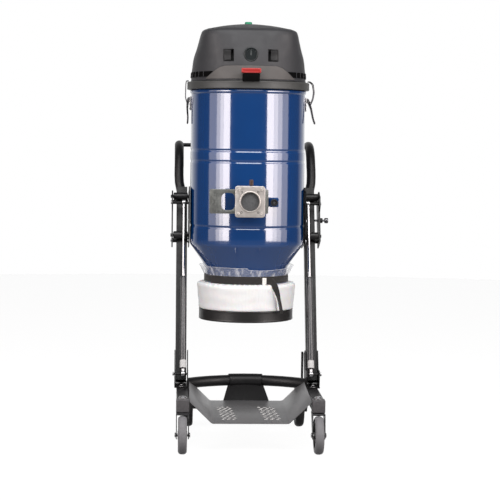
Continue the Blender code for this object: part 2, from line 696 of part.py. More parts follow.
def section(bm, z, a, b, n, seg):
    ring = []
    for k in range(seg):
        t = 2 * math.pi * k / seg
        c, s = math.cos(t), math.sin(t)
        x = a * math.copysign(abs(c) ** (2 / n), c)
        y = b * math.copysign(abs(s) ** (2 / n), s)
        ring.append(bm.verts.new(at(x, y, z)))
    return ring


def hood_solid(name, grow, seg=72, low=None, rise=0.0, close_z=None):
    bm = bmesh.new()
    rows = [section(bm, z, a, b, n, seg) for z, a, b, n in hood_rings(grow, rise, low)]
    for one, two in zip(rows, rows[1:]):
        skin(bm, one, two)
    bm.faces.new(rows[0])
    skin(bm, rows[-1], [bm.verts.new(at(0, 0, 1429 + rise))])
    bmesh.ops.triangulate(bm, faces=bm.faces[:])
    return from_bmesh(name, bm)


def hood():
    shell = hood_solid("hood", 0.0, SEG)
    cut(shell, hood_solid("cut_hood", -3.5, SEG, low=1220, rise=-3.2))
    unite(shell, rod("add_collar", (0, 40, 1424.5), (0, 40, 1432.5), 18.0, 18))
    for side in (-1, 1):
        lo, hi = span(side, 33, 51.5)
        lug = plate("add_lug", [(192, 1232), (211.5, 1230), (217, 1236), (211.5, 1242.5), (200, 1258), (192, 1258)],
                    lo, hi, "X")
        unite(shell, lug)
        cut(shell, rod("cut_lug", (side * 28, 211.5, 1236), (side * 66, 211.5, 1236), 3.1, 20))
        x = side * 76.0
        cut(shell, box("cut_switch", (x - 18.4, -217, 1313 - 21.6), (x + 18.4, -140, 1313 + 21.6)))
    cut(shell, rod("cut_gauge", (0, -215, 1316), (0, -150, 1316), 24.9, 20))
    cut(shell, rod("cut_button", (0, 40, 1400), (0, 40, 1450), 13.9, 18))
    return place(shell, "hood_grey", (0, 211.5, 1236), 30)


def fascia():
    arch = [(-210, 1239), (-131, 1239), (-131, 1231), (131, 1231), (131, 1239), (210, 1239), (210, 1260),
            (126, 1260), (112, 1268), (90, 1276), (60, 1278), (-60, 1278), (-90, 1276), (-112, 1268),
            (-126, 1260), (-210, 1260)]
    panel = keep(hood_solid("fascia_panel", 2.4, SEG, low=1229), plate("keep_arch", arch, -240, 30, "Y"))
    cut(panel, hood_solid("cut_fascia", 0.4, SEG, low=1215))
    return place(panel, "fascia_grey", (0, -190, 1250), 30)


def controls():
    for tag, side in sides():
        x = side * 76.0
        bezel = box(f"switch_bezel_{tag}", (x - 18, -172, 1313 - 21.2), (x + 18, -148, 1313 + 21.2), 0.6)
        cut(bezel, box("cut_bezel", (x - 15.5, -190, 1313 - 18.8), (x + 15.5, -153, 1313 + 18.8)))
        place(bezel, "black_plastic", (x, -160, 1313))
        rocker = plate(f"rocker_{tag}", [
            (-161.5, 1313 - 17.3), (-172.5, 1313 - 17.3), (-171.5, 1313), (-176, 1313 + 17.3), (-161.5, 1313 + 17.3)],
            x - 15, x + 15, "X")
        place(rocker, "black_plastic", (x, -165, 1313))
    case = lathe("gauge_case", (0, 0, 1316), (0, 1, 0), [
        (0, -182), (20.5, -182), (21, -188), (24, -188), (24.4, -186), (24.4, -160), (0, -160)], 20, closed=False)
    unite(case, rod("add_post", (0, -183.5, 1316), (0, -178, 1316), 1.2, 16))
    place(case, "dial_black", (0, -175, 1316), 30)
    needle = plate("gauge_needle", [
        (-1.0, 1312), (1.0, 1312), (2.6, 1316), (0.5, 1333), (-0.5, 1333), (-2.6, 1316)], -184.2, -183.8, "Y")
    place(needle, "red_plastic", (0, -184, 1316))
    button = lathe("pulse_button", (0, 40, 0), (0, 0, 1), [
        (0, 1412), (16.5, 1412), (16.5, 1416.5), (13, 1416.5), (13, 1438), (11, 1440.5), (0, 1441)], 18, closed=False)
    place(button, "green_plastic", (0, 40, 1430), 35)
    body = box("hood_latch_body", (-29, -222, 1223), (29, -203.2, 1251), 1.5)
    cut(body, rod("cut_rim", (0, 0, 1190), (0, 0, 1228.2), RIM_R + 0.8, 96))
    place(body, "black_plastic", (0, -210, 1240))
    lever = box("hood_latch_lever", (-33.5, -224, 1251.5), (33.5, -204.5, 1268.5), 2.0)
    return place(lever, "red_plastic", (0, -206, 1266))


def toggles(tag, side):
    """A side latch: base on the tank, lever with its tail down, wire bail hooked over the rim."""
    pivot = LATCH
    open_by = math.radians(0 if side < 0 else 16)

    def turned(x, z):
        dx, dz = x - pivot[0], z - pivot[1]
        c, s = math.cos(open_by), math.sin(open_by)
        return pivot[0] + dx * c - dz * s, pivot[1] + dx * s + dz * c

    shape = [(206.5, 1170), (212.5, 1170), (216.5, 1160), (216.5, 1135), (213.5, 1100), (215, 1082), (212, 1078),
             (208.5, 1082), (207.5, 1102), (209.5, 1135), (206.5, 1160)]
    lever = plate(f"latch_lever_{tag}", ends(side, [turned(*p) for p in shape]), -12.5, 12.5, "Y")
    knuckle = turned(211.5, 1146)
    cut(lever, rod("cut_pivot", (side * pivot[0], -20, pivot[1]), (side * pivot[0], 20, pivot[1]), 2.06, 16))
    cut(lever, rod("cut_bail", (side * knuckle[0], -20, knuckle[1]), (side * knuckle[0], 20, knuckle[1]), 2.3, 16))
    place(lever, "black_plastic", (side * pivot[0], 0, pivot[1]))
    kx, kz = knuckle
    slack = 5.5 if side > 0 else 0.0
    top = 1230.0 + slack / 3
    bow = 219.5 + 1.5 * slack
    y = 19.6
    path = [(kx, 5, kz), (kx, y, kz), (bow, y, kz + 26), (218.8 + slack, y, 1216), (217 + slack, y, top), (209.6, y, top)]
    path += [(px, -py, pz) for px, py, pz in path[::-1]]
    wire = sweep(f"latch_bail_{tag}", fillet_path([(side * px, py, pz) for px, py, pz in path], 5.0, 1), 1.8, 8)
    return place(wire, "zinc", (side * kx, 0, kz), 40), (pivot, knuckle)


def inside():
    for tag, x in (("left", -78.0), ("right", 78.0)):
        motor = lathe(f"motor_{tag}", (x, 0, 0), (0, 0, 1), [
            (0, 1209.4), (66, 1209.4), (68, 1215), (68, 1262), (52, 1270), (50, 1330), (40, 1345), (0, 1346)],
            24, closed=False)
        place(motor, "motor_metal", (x, 0, 1260), 35)
    main = lathe("main_filter", (0, 0, 0), (0, 0, 1), [
        (130, 900), (160, 900), (165, 906), (165, 1196), (150, 1198), (130, 1198)], 24)
    place(main, "filter_white", (0, 0, 1050), 35)
    fine = lathe("hepa_filter", (0, 0, 0), (0, 0, 1), [
        (0, 1010), (108, 1010), (112, 1014), (112, 1198), (0, 1198)], 20, closed=False)
    place(fine, "filter_white", (0, 0, 1100), 35)


for tag, side in sides():
    base_tube(tag, side)
    foot_bracket(tag, side)
    upright(tag, side)
    rear_wheel(tag, side)
    caster(tag, side)
    strut(tag, side)
    carriage(tag, side)
    rollers(tag, side)
    toggles(tag, side)
handle()
cross_tube()
tray_hanger()
tray()
rear_axle()
lock_pin()
tank_shell()
inlet()
bag_outlet()
head_base()
hood()
fascia()
controls()
inside()
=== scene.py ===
"""Looks of the upright dust collector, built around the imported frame: surfaces, film, webbing and light."""
import math

import bmesh
import bpy
from mathutils import Matrix, Vector, noise


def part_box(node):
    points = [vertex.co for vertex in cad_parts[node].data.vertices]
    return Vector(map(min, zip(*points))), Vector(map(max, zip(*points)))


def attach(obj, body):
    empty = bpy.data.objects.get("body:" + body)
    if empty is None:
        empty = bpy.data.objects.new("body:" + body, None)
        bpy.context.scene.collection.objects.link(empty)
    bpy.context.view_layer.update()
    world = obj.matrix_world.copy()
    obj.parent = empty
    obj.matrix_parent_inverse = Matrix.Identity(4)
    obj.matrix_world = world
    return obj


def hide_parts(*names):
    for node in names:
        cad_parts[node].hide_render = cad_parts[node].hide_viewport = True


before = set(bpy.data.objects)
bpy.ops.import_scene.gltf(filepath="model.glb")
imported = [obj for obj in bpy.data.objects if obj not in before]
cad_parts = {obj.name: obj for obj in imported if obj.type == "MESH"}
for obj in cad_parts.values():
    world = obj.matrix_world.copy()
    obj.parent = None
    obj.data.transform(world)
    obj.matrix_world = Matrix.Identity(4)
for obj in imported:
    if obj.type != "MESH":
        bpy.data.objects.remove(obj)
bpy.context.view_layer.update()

# Sizes are in millimetres about the tank's axis, as in the design: X = Y = 0 on the axis, the floor at Z = 0.
RING_LOW, RING_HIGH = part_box("cassette_ring")
AXIS_X = (RING_LOW.x + RING_HIGH.x) * 500.0
AXIS_Y = (RING_LOW.y + RING_HIGH.y) * 500.0
TANK_R = 200.0
TANK_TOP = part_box("tank_shell")[1].z * 1000.0
NECK_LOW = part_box("tank_shell")[0].z * 1000.0
RIM_R = (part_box("head_base")[1].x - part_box("head_base")[0].x) * 500.0
BEADS = (726.0, 951.0, 989.0)
CONE_TOP, CONE_LOW, NECK_R = 663.0, 581.0, 145.0
INLET_Z = 818.0
LEAN = math.radians(21.0)
FOOT = (-115.0, 176.0)
SIDES = (("L", -1.0), ("R", 1.0))
GAUGE_Z = 1316.0
SWITCH_X, SWITCH_Z = 76.0, 1313.0
BUTTON_Y = 40.0
LATCH = (209.5, 1166.0)
KNOB_X = 82.0
AXLE_Y, REAR_R = 75.0, 75.0
CASTER_X, CASTER_Y, CASTER_R = 223.0, -460.0, 62.5
KING_Y = -425.0
STRUT_F = 60.0
HOOD_SEG = 168
# The hood's sections: height, half width, half depth and the exponent that makes its corners squarer.
HOOD = (
    (1228.0, 200.0, 200.0, 2.0),
    (1245.0, 200.0, 200.0, 2.0),
    (1273.0, 197.0, 193.0, 2.12),
    (1308.0, 192.0, 186.0, 2.3),
    (1343.0, 181.0, 176.0, 2.9),
    (1371.0, 173.5, 168.0, 3.5),
    (1392.0, 167.5, 161.5, 4.1),
    (1402.0, 161.0, 155.0, 4.2),
    (1409.0, 141.5, 136.5, 3.8),
    (1417.0, 108.7, 105.0, 3.2),
    (1422.0, 83.0, 80.0, 2.8),
    (1426.0, 54.0, 52.5, 2.4),
)
HOOD_TOP = 1429.0


def at(x, y, z):
    return Vector((x + AXIS_X, y + AXIS_Y, z)) * 0.001


def along(x, s, f):
    """A point of the leaning side frame: s along the upright from its foot, f in front of its centre."""
    y = FOOT[0] + s * math.sin(LEAN) - f * math.cos(LEAN)
    z = FOOT[1] + s * math.cos(LEAN) + f * math.sin(LEAN)
    return x, y, z


def smoothstep(t):
    t = min(1.0, max(0.0, t))
    return t * t * (3 - 2 * t)


# ---------------------------------------------------------------- materials

class Nodes:
    """A short way to write a node tree around one Principled shader."""

    def __init__(self, name):
        self.made = bpy.data.materials.new(name)
        self.made.use_nodes = True
        self.tree = self.made.node_tree
        self.shader = self.tree.nodes["Principled BSDF"]

    def add(self, kind, **values):
        node = self.tree.nodes.new(kind)
        for key, value in values.items():
            setattr(node, key, value)
        return node

    def link(self, source, out, target, into):
        self.tree.links.new(source.outputs[out], target.inputs[into])

    def set(self, **values):
        for key, value in values.items():
            self.shader.inputs[key.replace("_", " ")].default_value = value

    def place(self, stretch=(1.0, 1.0, 1.0)):
        where = self.add("ShaderNodeTexCoord")
        scale = self.add("ShaderNodeMapping")
        scale.inputs["Scale"].default_value = stretch
        self.link(where, "Object", scale, "Vector")
        return scale

    def speckle(self, where, scale, detail=3.0, rough=0.55):
        made = self.add("ShaderNodeTexNoise")
        made.inputs["Scale"].default_value = scale
        made.inputs["Detail"].default_value = detail
        made.inputs["Roughness"].default_value = rough
        self.link(where, "Vector", made, "Vector")
        return made

    def ranged(self, source, out, low, high, start=0.3, end=0.7):
        made = self.add("ShaderNodeMapRange")
        made.inputs["From Min"].default_value = start
        made.inputs["From Max"].default_value = end
        made.inputs["To Min"].default_value = low
        made.inputs["To Max"].default_value = high
        self.link(source, out, made, "Value")
        return made

    def tint(self, factor, out, dark, light):
        made = self.add("ShaderNodeMix", data_type="RGBA")
        made.inputs[6].default_value = (*dark, 1.0)
        made.inputs[7].default_value = (*light, 1.0)
        self.link(factor, out, made, 0)
        self.tree.links.new(made.outputs[2], self.shader.inputs["Base Color"])

    def relief(self, source, out, depth):
        bump = self.add("ShaderNodeBump")
        bump.inputs["Distance"].default_value = depth
        self.link(source, out, bump, "Height")
        self.tree.links.new(bump.outputs["Normal"], self.shader.inputs["Normal"])


def surface(name, rgb, rough, metal=0.0, grain=900.0, depth=0.00004, vary=0.08, spread=0.06, mottle=14.0,
            stretch=(1.0, 1.0, 1.0), **shader):
    """A moulded, painted or rolled surface: faint mottling, uneven gloss and a fine grain."""
    m = Nodes(name)
    m.set(Metallic=metal, **shader)
    where = m.place(stretch)
    clouds = m.speckle(where, mottle)
    dark = [c * (1 - vary) for c in rgb]
    light = [min(1.0, c * (1 + vary)) for c in rgb]
    m.tint(m.ranged(clouds, "Fac", 0.0, 1.0), "Result", dark, light)
    patches = m.speckle(where, mottle * 3.1, 4.0)
    gloss = m.ranged(patches, "Fac", max(0.02, rough - spread), min(1.0, rough + spread))
    m.link(gloss, "Result", m.shader, "Roughness")
    m.relief(m.speckle(where, grain, 2.0), "Fac", depth)
    return m.made


def spangled(name, rgb, rough):
    """Hot-dip zinc: flat crystals, each a little lighter or darker and with its own gloss."""
    m = Nodes(name)
    m.set(Metallic=0.85)
    where = m.place()
    cells = m.add("ShaderNodeTexVoronoi", feature="F1")
    cells.inputs["Scale"].default_value = 190.0
    m.link(where, "Vector", cells, "Vector")
    shade = m.add("ShaderNodeSeparateColor")
    m.link(cells, "Color", shade, "Color")
    m.tint(shade, "Red", [c * 0.86 for c in rgb], [min(1.0, c * 1.12) for c in rgb])
    m.link(m.ranged(shade, "Green", rough - 0.08, rough + 0.1, 0.0, 1.0), "Result", m.shader, "Roughness")
    m.relief(m.speckle(where, 600.0), "Fac", 0.00003)
    return m.made


def brushed(name, rgb, rough, metal, stretch):
    """Rolled or cast metal with fine lines along one direction."""
    m = Nodes(name)
    m.set(Metallic=metal)
    where = m.place(stretch)
    lines = m.speckle(where, 60.0, 6.0, 0.7)
    m.tint(m.ranged(lines, "Fac", 0.0, 1.0), "Result", [c * 0.9 for c in rgb],
           [min(1.0, c * 1.1) for c in rgb])
    m.link(m.ranged(lines, "Fac", rough - 0.07, rough + 0.07), "Result", m.shader, "Roughness")
    m.relief(lines, "Fac", 0.00003)
    return m.made


def webbing(name, rgb):
    """Woven strap: ribs across the width and slanted threads, measured along the strap itself."""
    m = Nodes(name)
    m.set(Roughness=0.78, Sheen_Weight=0.25, Sheen_Roughness=0.4)
    path = m.add("ShaderNodeAttribute", attribute_name="weave")
    ribs = m.add("ShaderNodeTexWave", wave_type="BANDS", bands_direction="Y")
    ribs.inputs["Scale"].default_value = 160.0
    ribs.inputs["Distortion"].default_value = 0.4
    m.link(path, "Vector", ribs, "Vector")
    threads = m.add("ShaderNodeTexWave", wave_type="BANDS", bands_direction="DIAGONAL")
    threads.inputs["Scale"].default_value = 260.0
    threads.inputs["Distortion"].default_value = 0.6
    m.link(path, "Vector", threads, "Vector")
    both = m.add("ShaderNodeMath", operation="MULTIPLY")
    m.link(ribs, "Fac", both, 0)
    m.link(threads, "Fac", both, 1)
    m.tint(both, "Value", [c * 0.55 for c in rgb], [c * 1.5 for c in rgb])
    m.relief(both, "Value", 0.00035)
    return m.made


def film(name, rgb, low, high):
    """Thin clear polyethylene: milky where it is creased, clear where it lies smooth."""
    m = Nodes(name)
    m.set(Roughness=0.14, IOR=1.5, Specular_IOR_Level=0.8)
    where = m.place((1.0, 1.0, 0.22))
    haze = m.speckle(where, 74.0, 5.0, 0.55)
    m.tint(m.ranged(haze, "Fac", 0.0, 1.0), "Result", [c * 0.9 for c in rgb], rgb)
    m.link(m.ranged(haze, "Fac", low, high, 0.5, 0.78), "Result", m.shader, "Alpha")
    m.relief(m.speckle(m.place((1.0, 1.0, 0.35)), 90.0, 5.0), "Fac", 0.0012)
    return m.made


def pleat_shaded_screen(name, rgb):
    """Filter medium with painted shade: darker in its pleat valleys, on the same noise as its bump."""
    m = Nodes(name)
    m.set(Roughness=0.9)
    where = m.place((1.0, 1.0, 0.05))
    folds = m.speckle(where, 220.0, 2.0)
    # Painted shade: the tint follows the pleat bump, darker where the bump sinks.
    m.tint(m.ranged(folds, "Fac", 0.0, 1.0), "Result", [c * 0.7 for c in rgb], rgb)
    m.relief(folds, "Fac", 0.001)
    return m.made


MADE = (
    surface("tank_blue", (0.0018, 0.040, 0.166), 0.15, grain=260.0, depth=0.000006, vary=0.05,
            spread=0.02, mottle=6.0, Coat_Weight=1.0, Coat_Roughness=0.05, Coat_IOR=1.95,
            Specular_IOR_Level=0.5),
    surface("frame_black", (0.0075, 0.0075, 0.0082), 0.42, grain=1500.0, depth=0.00005,
            vary=0.12, Specular_IOR_Level=0.36),
    surface("hood_grey", (0.029, 0.0295, 0.033), 0.54, grain=1100.0, depth=0.00008, vary=0.07),
    surface("fascia_grey", (0.076, 0.070, 0.067), 0.52, grain=1300.0, depth=0.00007,
            vary=0.05),
    surface("rim_grey", (0.050, 0.0505, 0.049), 0.46, depth=0.00008, vary=0.06),
    surface("black_plastic", (0.008, 0.008, 0.009), 0.44, grain=1300.0, depth=0.00005,
            vary=0.12),
    surface("red_plastic", (0.36, 0.022, 0.020), 0.38, depth=0.00003, vary=0.06),
    surface("green_plastic", (0.006, 0.25, 0.12), 0.3, depth=0.00002,
            vary=0.06),
    brushed("tray_steel", (0.21, 0.21, 0.215), 0.4, 0.55, (0.15, 1.0, 1.0)),
    surface("zinc", (0.56, 0.56, 0.57), 0.3, 1.0, grain=700.0, vary=0.12, mottle=60.0),
    surface("strut_grey", (0.042, 0.042, 0.046), 0.26, 0.2, depth=0.00001,
            vary=0.05, Coat_Weight=0.4, Coat_Roughness=0.1),
    surface("chrome", (0.80, 0.80, 0.82), 0.08, 1.0, grain=500.0, depth=0.000004, vary=0.03,
            spread=0.03),
    surface("flange_alu", (0.70, 0.655, 0.62), 0.4, 0.75, grain=420.0, depth=0.00018, vary=0.09,
            spread=0.09, mottle=40.0),
    spangled("gate_zinc", (0.25, 0.26, 0.25), 0.42),
    surface("grey_tyre", (0.18, 0.18, 0.19), 0.62, grain=700.0, depth=0.0002, vary=0.1),
    surface("black_tyre", (0.016, 0.016, 0.017), 0.6, grain=700.0, depth=0.0002, vary=0.15),
    surface("bag_white", (0.83, 0.83, 0.835), 0.34, grain=55.0, depth=0.0011, vary=0.025,
            stretch=(1.0, 1.0, 0.3), Subsurface_Weight=0.12, Subsurface_Scale=0.004),
    film("film_clear", (0.84, 0.86, 0.92), 0.10, 0.72),
    webbing("strap_black", (0.017, 0.014, 0.0135)),
    pleat_shaded_screen("filter_white", (0.72, 0.71, 0.66)),
    brushed("motor_metal", (0.32, 0.32, 0.33), 0.42, 1.0, (1.0, 1.0, 0.1)),
    surface("dial_black", (0.010, 0.014, 0.015), 0.36, depth=0.00001, vary=0.2),
)
LOOKS = {look.name.split(".")[0]: look for look in MADE}
HEM = surface("film_edge", (0.82, 0.84, 0.90), 0.2, grain=500.0, depth=0.0001, vary=0.06, Alpha=0.55)
# Painted shade: a dark mottled grey for the disc drawn on the gate where it shows in the shaded bore.
BORE_SHADE = surface("gate_bore_shade", (0.075, 0.078, 0.082), 0.55, grain=520.0, depth=0.0004, vary=0.3, mottle=380.0)
LABEL = surface("strut_label", (0.50, 0.50, 0.50), 0.5, grain=420.0, vary=0.22, mottle=260.0)
CREAM = surface("buckle_white", (0.84, 0.83, 0.80), 0.35, grain=700.0, depth=0.00003, vary=0.03)
MARKS = surface("dial_marks", (0.30, 0.32, 0.32), 0.5, depth=0.00001, vary=0.05)
LENS = surface("dial_lens", (0.03, 0.036, 0.038), 0.12, grain=300.0, depth=0.000002, vary=0.1, spread=0.03,
               Alpha=0.3)
GROUND = surface("studio_floor", (0.90, 0.90, 0.90), 0.6, grain=8.0, depth=0.0002, vary=0.005, mottle=0.6,
                 Specular_IOR_Level=0.0, Alpha=0.13, Emission_Color=(1.0, 1.0, 1.0, 1.0),
                 Emission_Strength=0.55)
BEZEL = surface("switch_bezel", (0.010, 0.010, 0.011), 0.5, depth=0.00006, vary=0.1)
WEB = surface("hanger_black", (0.006, 0.006, 0.0065), 0.6, grain=1500.0, depth=0.00005, vary=0.12,
              Specular_IOR_Level=0.2)
KEY = surface("switch_key", (0.019, 0.019, 0.020), 0.5, vary=0.12)
CAP = surface("tube_cap", (0.075, 0.072, 0.076), 0.55, grain=620.0, depth=0.0004, vary=0.35, mottle=420.0)
STEEL = surface("latch_steel", (0.17, 0.17, 0.18), 0.26, 1.0, grain=700.0, depth=0.00003, vary=0.12,
                mottle=50.0)
BAND = surface("band_black", (0.015, 0.014, 0.014), 0.36, grain=700.0, depth=0.00003, vary=0.1, spread=0.02,
               mottle=26.0)
# Painted shade: the zinc forks drawn dark grey, standing for the dark surroundings they reflect.
FORK_SHADE = surface("fork_finish", (0.05, 0.05, 0.053), 0.34, 0.5, grain=700.0, depth=0.00006, vary=0.12)
# Painted highlight: the pressed-up louvres get a lighter colour than the tray steel they are pressed from.
SLOT_HIGHLIGHT = surface("slot_bright", (0.40, 0.39, 0.38), 0.4, 0.5, vary=0.15)
# Real matte black on the latch housing and the rim gasket; on the vent slots it is painted shade inside the
# openings.
MATTE_AND_SHADE = surface("matte_black_and_vent_shade", (0.003, 0.003, 0.003), 0.9, depth=0.00005, vary=0.2,
                Specular_IOR_Level=0.05)
BROWN = surface("pin_brown", (0.045, 0.02, 0.014), 0.4, vary=0.15)


# ---------------------------------------------------------------- shapes

def put(name, data):
    obj = bpy.data.objects.new(name, data)
    bpy.context.scene.collection.objects.link(obj)
    return obj


def baked(obj):
    """An object's mesh with its modifiers or its bevel applied."""
    bpy.context.view_layer.update()
    return bpy.data.meshes.new_from_object(obj.evaluated_get(bpy.context.evaluated_depsgraph_get()))


def turn_to(axis):
    return Vector((0, 0, 1)).rotation_difference(axis.normalized()).to_matrix().to_4x4()


def from_bmesh(name, bm, angle=35.0):
    bmesh.ops.recalc_face_normals(bm, faces=bm.faces[:])
    data = bpy.data.meshes.new(name)
    bm.to_mesh(data)
    bm.free()
    return smooth(put(name, data), angle)


def smooth(obj, angle=35.0):
    obj.data.shade_smooth()
    obj.data.set_sharp_from_angle(angle=math.radians(angle))
    return obj


def settle(obj, angle=35.0):
    """Apply an object's modifiers."""
    data = baked(obj)
    obj.modifiers.clear()
    obj.data = data
    return smooth(obj, angle)


def carve(obj, *others, operation="DIFFERENCE", angle=35.0):
    for other in others:
        mod = obj.modifiers.new("carve", "BOOLEAN")
        mod.operation = operation
        mod.solver = "EXACT"
        mod.object = other
    settle(obj, angle)
    for other in others:
        bpy.data.objects.remove(other, do_unlink=True)
    return obj


def ease(obj, width, segments=2, angle=35.0):
    """Round an object's sharp edges."""
    mod = obj.modifiers.new("ease", "BEVEL")
    mod.width = width * 0.001
    mod.segments = segments
    mod.limit_method = "ANGLE"
    mod.angle_limit = math.radians(angle)
    mod.use_clamp_overlap = True
    return settle(obj)


def aim(centre, axis):
    return Matrix.Translation(at(*centre)) @ turn_to(Vector(axis)) @ Matrix.Scale(0.001, 4)


def bridge(bm, one, two):
    n = max(len(one), len(two))
    for k in range(n):
        m = (k + 1) % n
        if len(one) == 1:
            bm.faces.new((one[0], two[m], two[k]))
        elif len(two) == 1:
            bm.faces.new((one[k], one[m], two[0]))
        else:
            bm.faces.new((one[k], one[m], two[m], two[k]))


def curve_between(p, c, q, steps):
    """Points of a short curve from p to q that turns at the corner c."""
    made = []
    for step in range(steps + 1):
        t = step / steps
        made.append(p * (1 - t) ** 2 + c * 2 * t * (1 - t) + q * t * t)
    return made


def rounded_line(points, reach, steps, closed=False):
    """A flat line with each corner replaced by a short curve."""
    n = len(points)
    made = []
    for k, point in enumerate(points):
        if not closed and k in (0, n - 1):
            made.append(point)
            continue
        c = Vector(point)
        a = Vector(points[k - 1]) - c
        b = Vector(points[(k + 1) % n]) - c
        cut = min(reach, a.length * 0.48, b.length * 0.48)
        p, q = c + a.normalized() * cut, c + b.normalized() * cut
        made += [tuple(point) for point in curve_between(p, c, q, steps)]
    return made


def turned(name, centre, axis, profile, seg, reach=0.0, angle=35.0):
    """Turn a profile of (radius, height) about an axis. One that starts on the axis ends on it too."""
    closed = profile[0][0] > 0
    line = rounded_line(profile, reach, 3, closed) if reach else profile
    bm = bmesh.new()
    rings = []
    for r, h in line:
        if r < 1e-6:
            rings.append([bm.verts.new((0, 0, h))])
            continue
        rings.append([bm.verts.new((r * math.cos(math.tau * k / seg), r * math.sin(math.tau * k / seg), h))
                      for k in range(seg)])
    for one, two in zip(rings, rings[1:] + (rings[:1] if closed else [])):
        bridge(bm, one, two)
    bmesh.ops.transform(bm, matrix=aim(centre, axis), verts=bm.verts[:])
    return from_bmesh(name, bm, angle)


def block(name, low, high, bevel=0.0, segments=3):
    bm = bmesh.new()
    bmesh.ops.create_cube(bm, size=1.0)
    bmesh.ops.scale(bm, vec=[(h - l) * 0.001 for l, h in zip(low, high)], verts=bm.verts[:])
    if bevel:
        bmesh.ops.bevel(bm, geom=bm.edges[:], offset=bevel * 0.001, segments=segments, affect="EDGES",
                        profile=0.5)
    bmesh.ops.translate(bm, vec=at(*[(l + h) / 2 for l, h in zip(low, high)]), verts=bm.verts[:])
    return from_bmesh(name, bm)


def rod(name, start, end, r, seg=48, bevel=0.0):
    a, b = at(*start), at(*end)
    bm = bmesh.new()
    bmesh.ops.create_cone(bm, cap_ends=True, segments=seg, radius1=r * 0.001, radius2=r * 0.001,
                          depth=(b - a).length)
    if bevel:
        rims = [e for e in bm.edges if abs(e.verts[0].co.z - e.verts[1].co.z) < 1e-9]
        bmesh.ops.bevel(bm, geom=rims, offset=bevel * 0.001, segments=3, affect="EDGES", profile=0.5)
    bmesh.ops.transform(bm, matrix=Matrix.Translation((a + b) / 2) @ turn_to(b - a), verts=bm.verts[:])
    return from_bmesh(name, bm)


AXES = {"X": lambda u, v, w: (w, u, v), "Y": lambda u, v, w: (u, w, v), "Z": lambda u, v, w: (u, v, w)}


def slab(name, outline, low, high, axis="X", bevel=0.0, segments=2):
    """Extrude a flat outline. Axis X takes (y, z) points, Y takes (x, z) and Z takes (x, y)."""
    bm = bmesh.new()
    put = AXES[axis]
    one = [bm.verts.new(at(*put(u, v, low))) for u, v in outline]
    two = [bm.verts.new(at(*put(u, v, high))) for u, v in outline]
    bm.faces.new(one)
    bm.faces.new(two[::-1])
    bridge(bm, one, two)
    made = from_bmesh(name, bm)
    return ease(made, bevel, segments) if bevel else made


def corners(x0, x1, z0, z1, r, steps=8):
    """A rectangle with round corners."""
    made = []
    for cx, cz, start in ((x1 - r, z1 - r, 0), (x0 + r, z1 - r, 90), (x0 + r, z0 + r, 180),
                          (x1 - r, z0 + r, 270)):
        for k in range(steps + 1):
            a = math.radians(start + 90 * k / steps)
            made.append((cx + r * math.cos(a), cz + r * math.sin(a)))
    return made


def smooth_path(points, steps=6):
    """A smooth line through a path's points."""
    ends = [Vector(points[0]) * 2 - Vector(points[1])] + [Vector(p) for p in points]
    ends.append(Vector(points[-1]) * 2 - Vector(points[-2]))
    made = []
    for p0, p1, p2, p3 in zip(ends, ends[1:], ends[2:], ends[3:]):
        for k in range(steps):
            t = k / steps
            made.append(0.5 * ((2 * p1) + (p2 - p0) * t + (2 * p0 - 5 * p1 + 4 * p2 - p3) * t * t
                               + (3 * p1 - p0 - 3 * p2 + p3) * t ** 3))
    return made + [ends[-2]]


def fillet_path(points, radius, steps):
    """A path in space with each corner replaced by a short curve."""
    made = [Vector(points[0])]
    for before, corner, after in zip(points, points[1:], points[2:]):
        c = Vector(corner)
        a, b = Vector(before) - c, Vector(after) - c
        reach = min(radius, a.length * 0.49, b.length * 0.49)
        p, q = c + a.normalized() * reach, c + b.normalized() * reach
        made += curve_between(p, c, q, steps)
    return made + [Vector(points[-1])]


def tube(name, path, r, sides=32):
    """A round bar along a path of points, as a bevelled curve turned into a mesh."""
    curve = bpy.data.curves.new(name, "CURVE")
    curve.dimensions = "3D"
    curve.bevel_depth = r * 0.001
    curve.bevel_resolution = sides // 4
    curve.use_fill_caps = True
    spline = curve.splines.new("POLY")
    spline.points.add(len(path) - 1)
    for knot, point in zip(spline.points, path):
        knot.co = (*at(*point), 1.0)
    guide = put("guide", curve)
    data = baked(guide)
    bpy.data.objects.remove(guide, do_unlink=True)
    bm = bmesh.new()
    bm.from_mesh(data)
    bpy.data.meshes.remove(data)
    bmesh.ops.remove_doubles(bm, verts=bm.verts[:], dist=0.000005)
    return from_bmesh(name, bm, 50)


def grid_sheet(name, rows, thick):
    """A closed sheet from rings of (x, y, z) points, given a thickness on its inner side."""
    bm = bmesh.new()
    verts = [[bm.verts.new(at(*p)) for p in row] for row in rows]
    for one, two in zip(verts, verts[1:]):
        bridge(bm, one, two)
    data = bpy.data.meshes.new(name)
    bm.to_mesh(data)
    bm.free()
    obj = put(name, data)
    mod = obj.modifiers.new("thick", "SOLIDIFY")
    mod.thickness = thick * 0.001
    mod.offset = -1.0
    return settle(obj, 60)


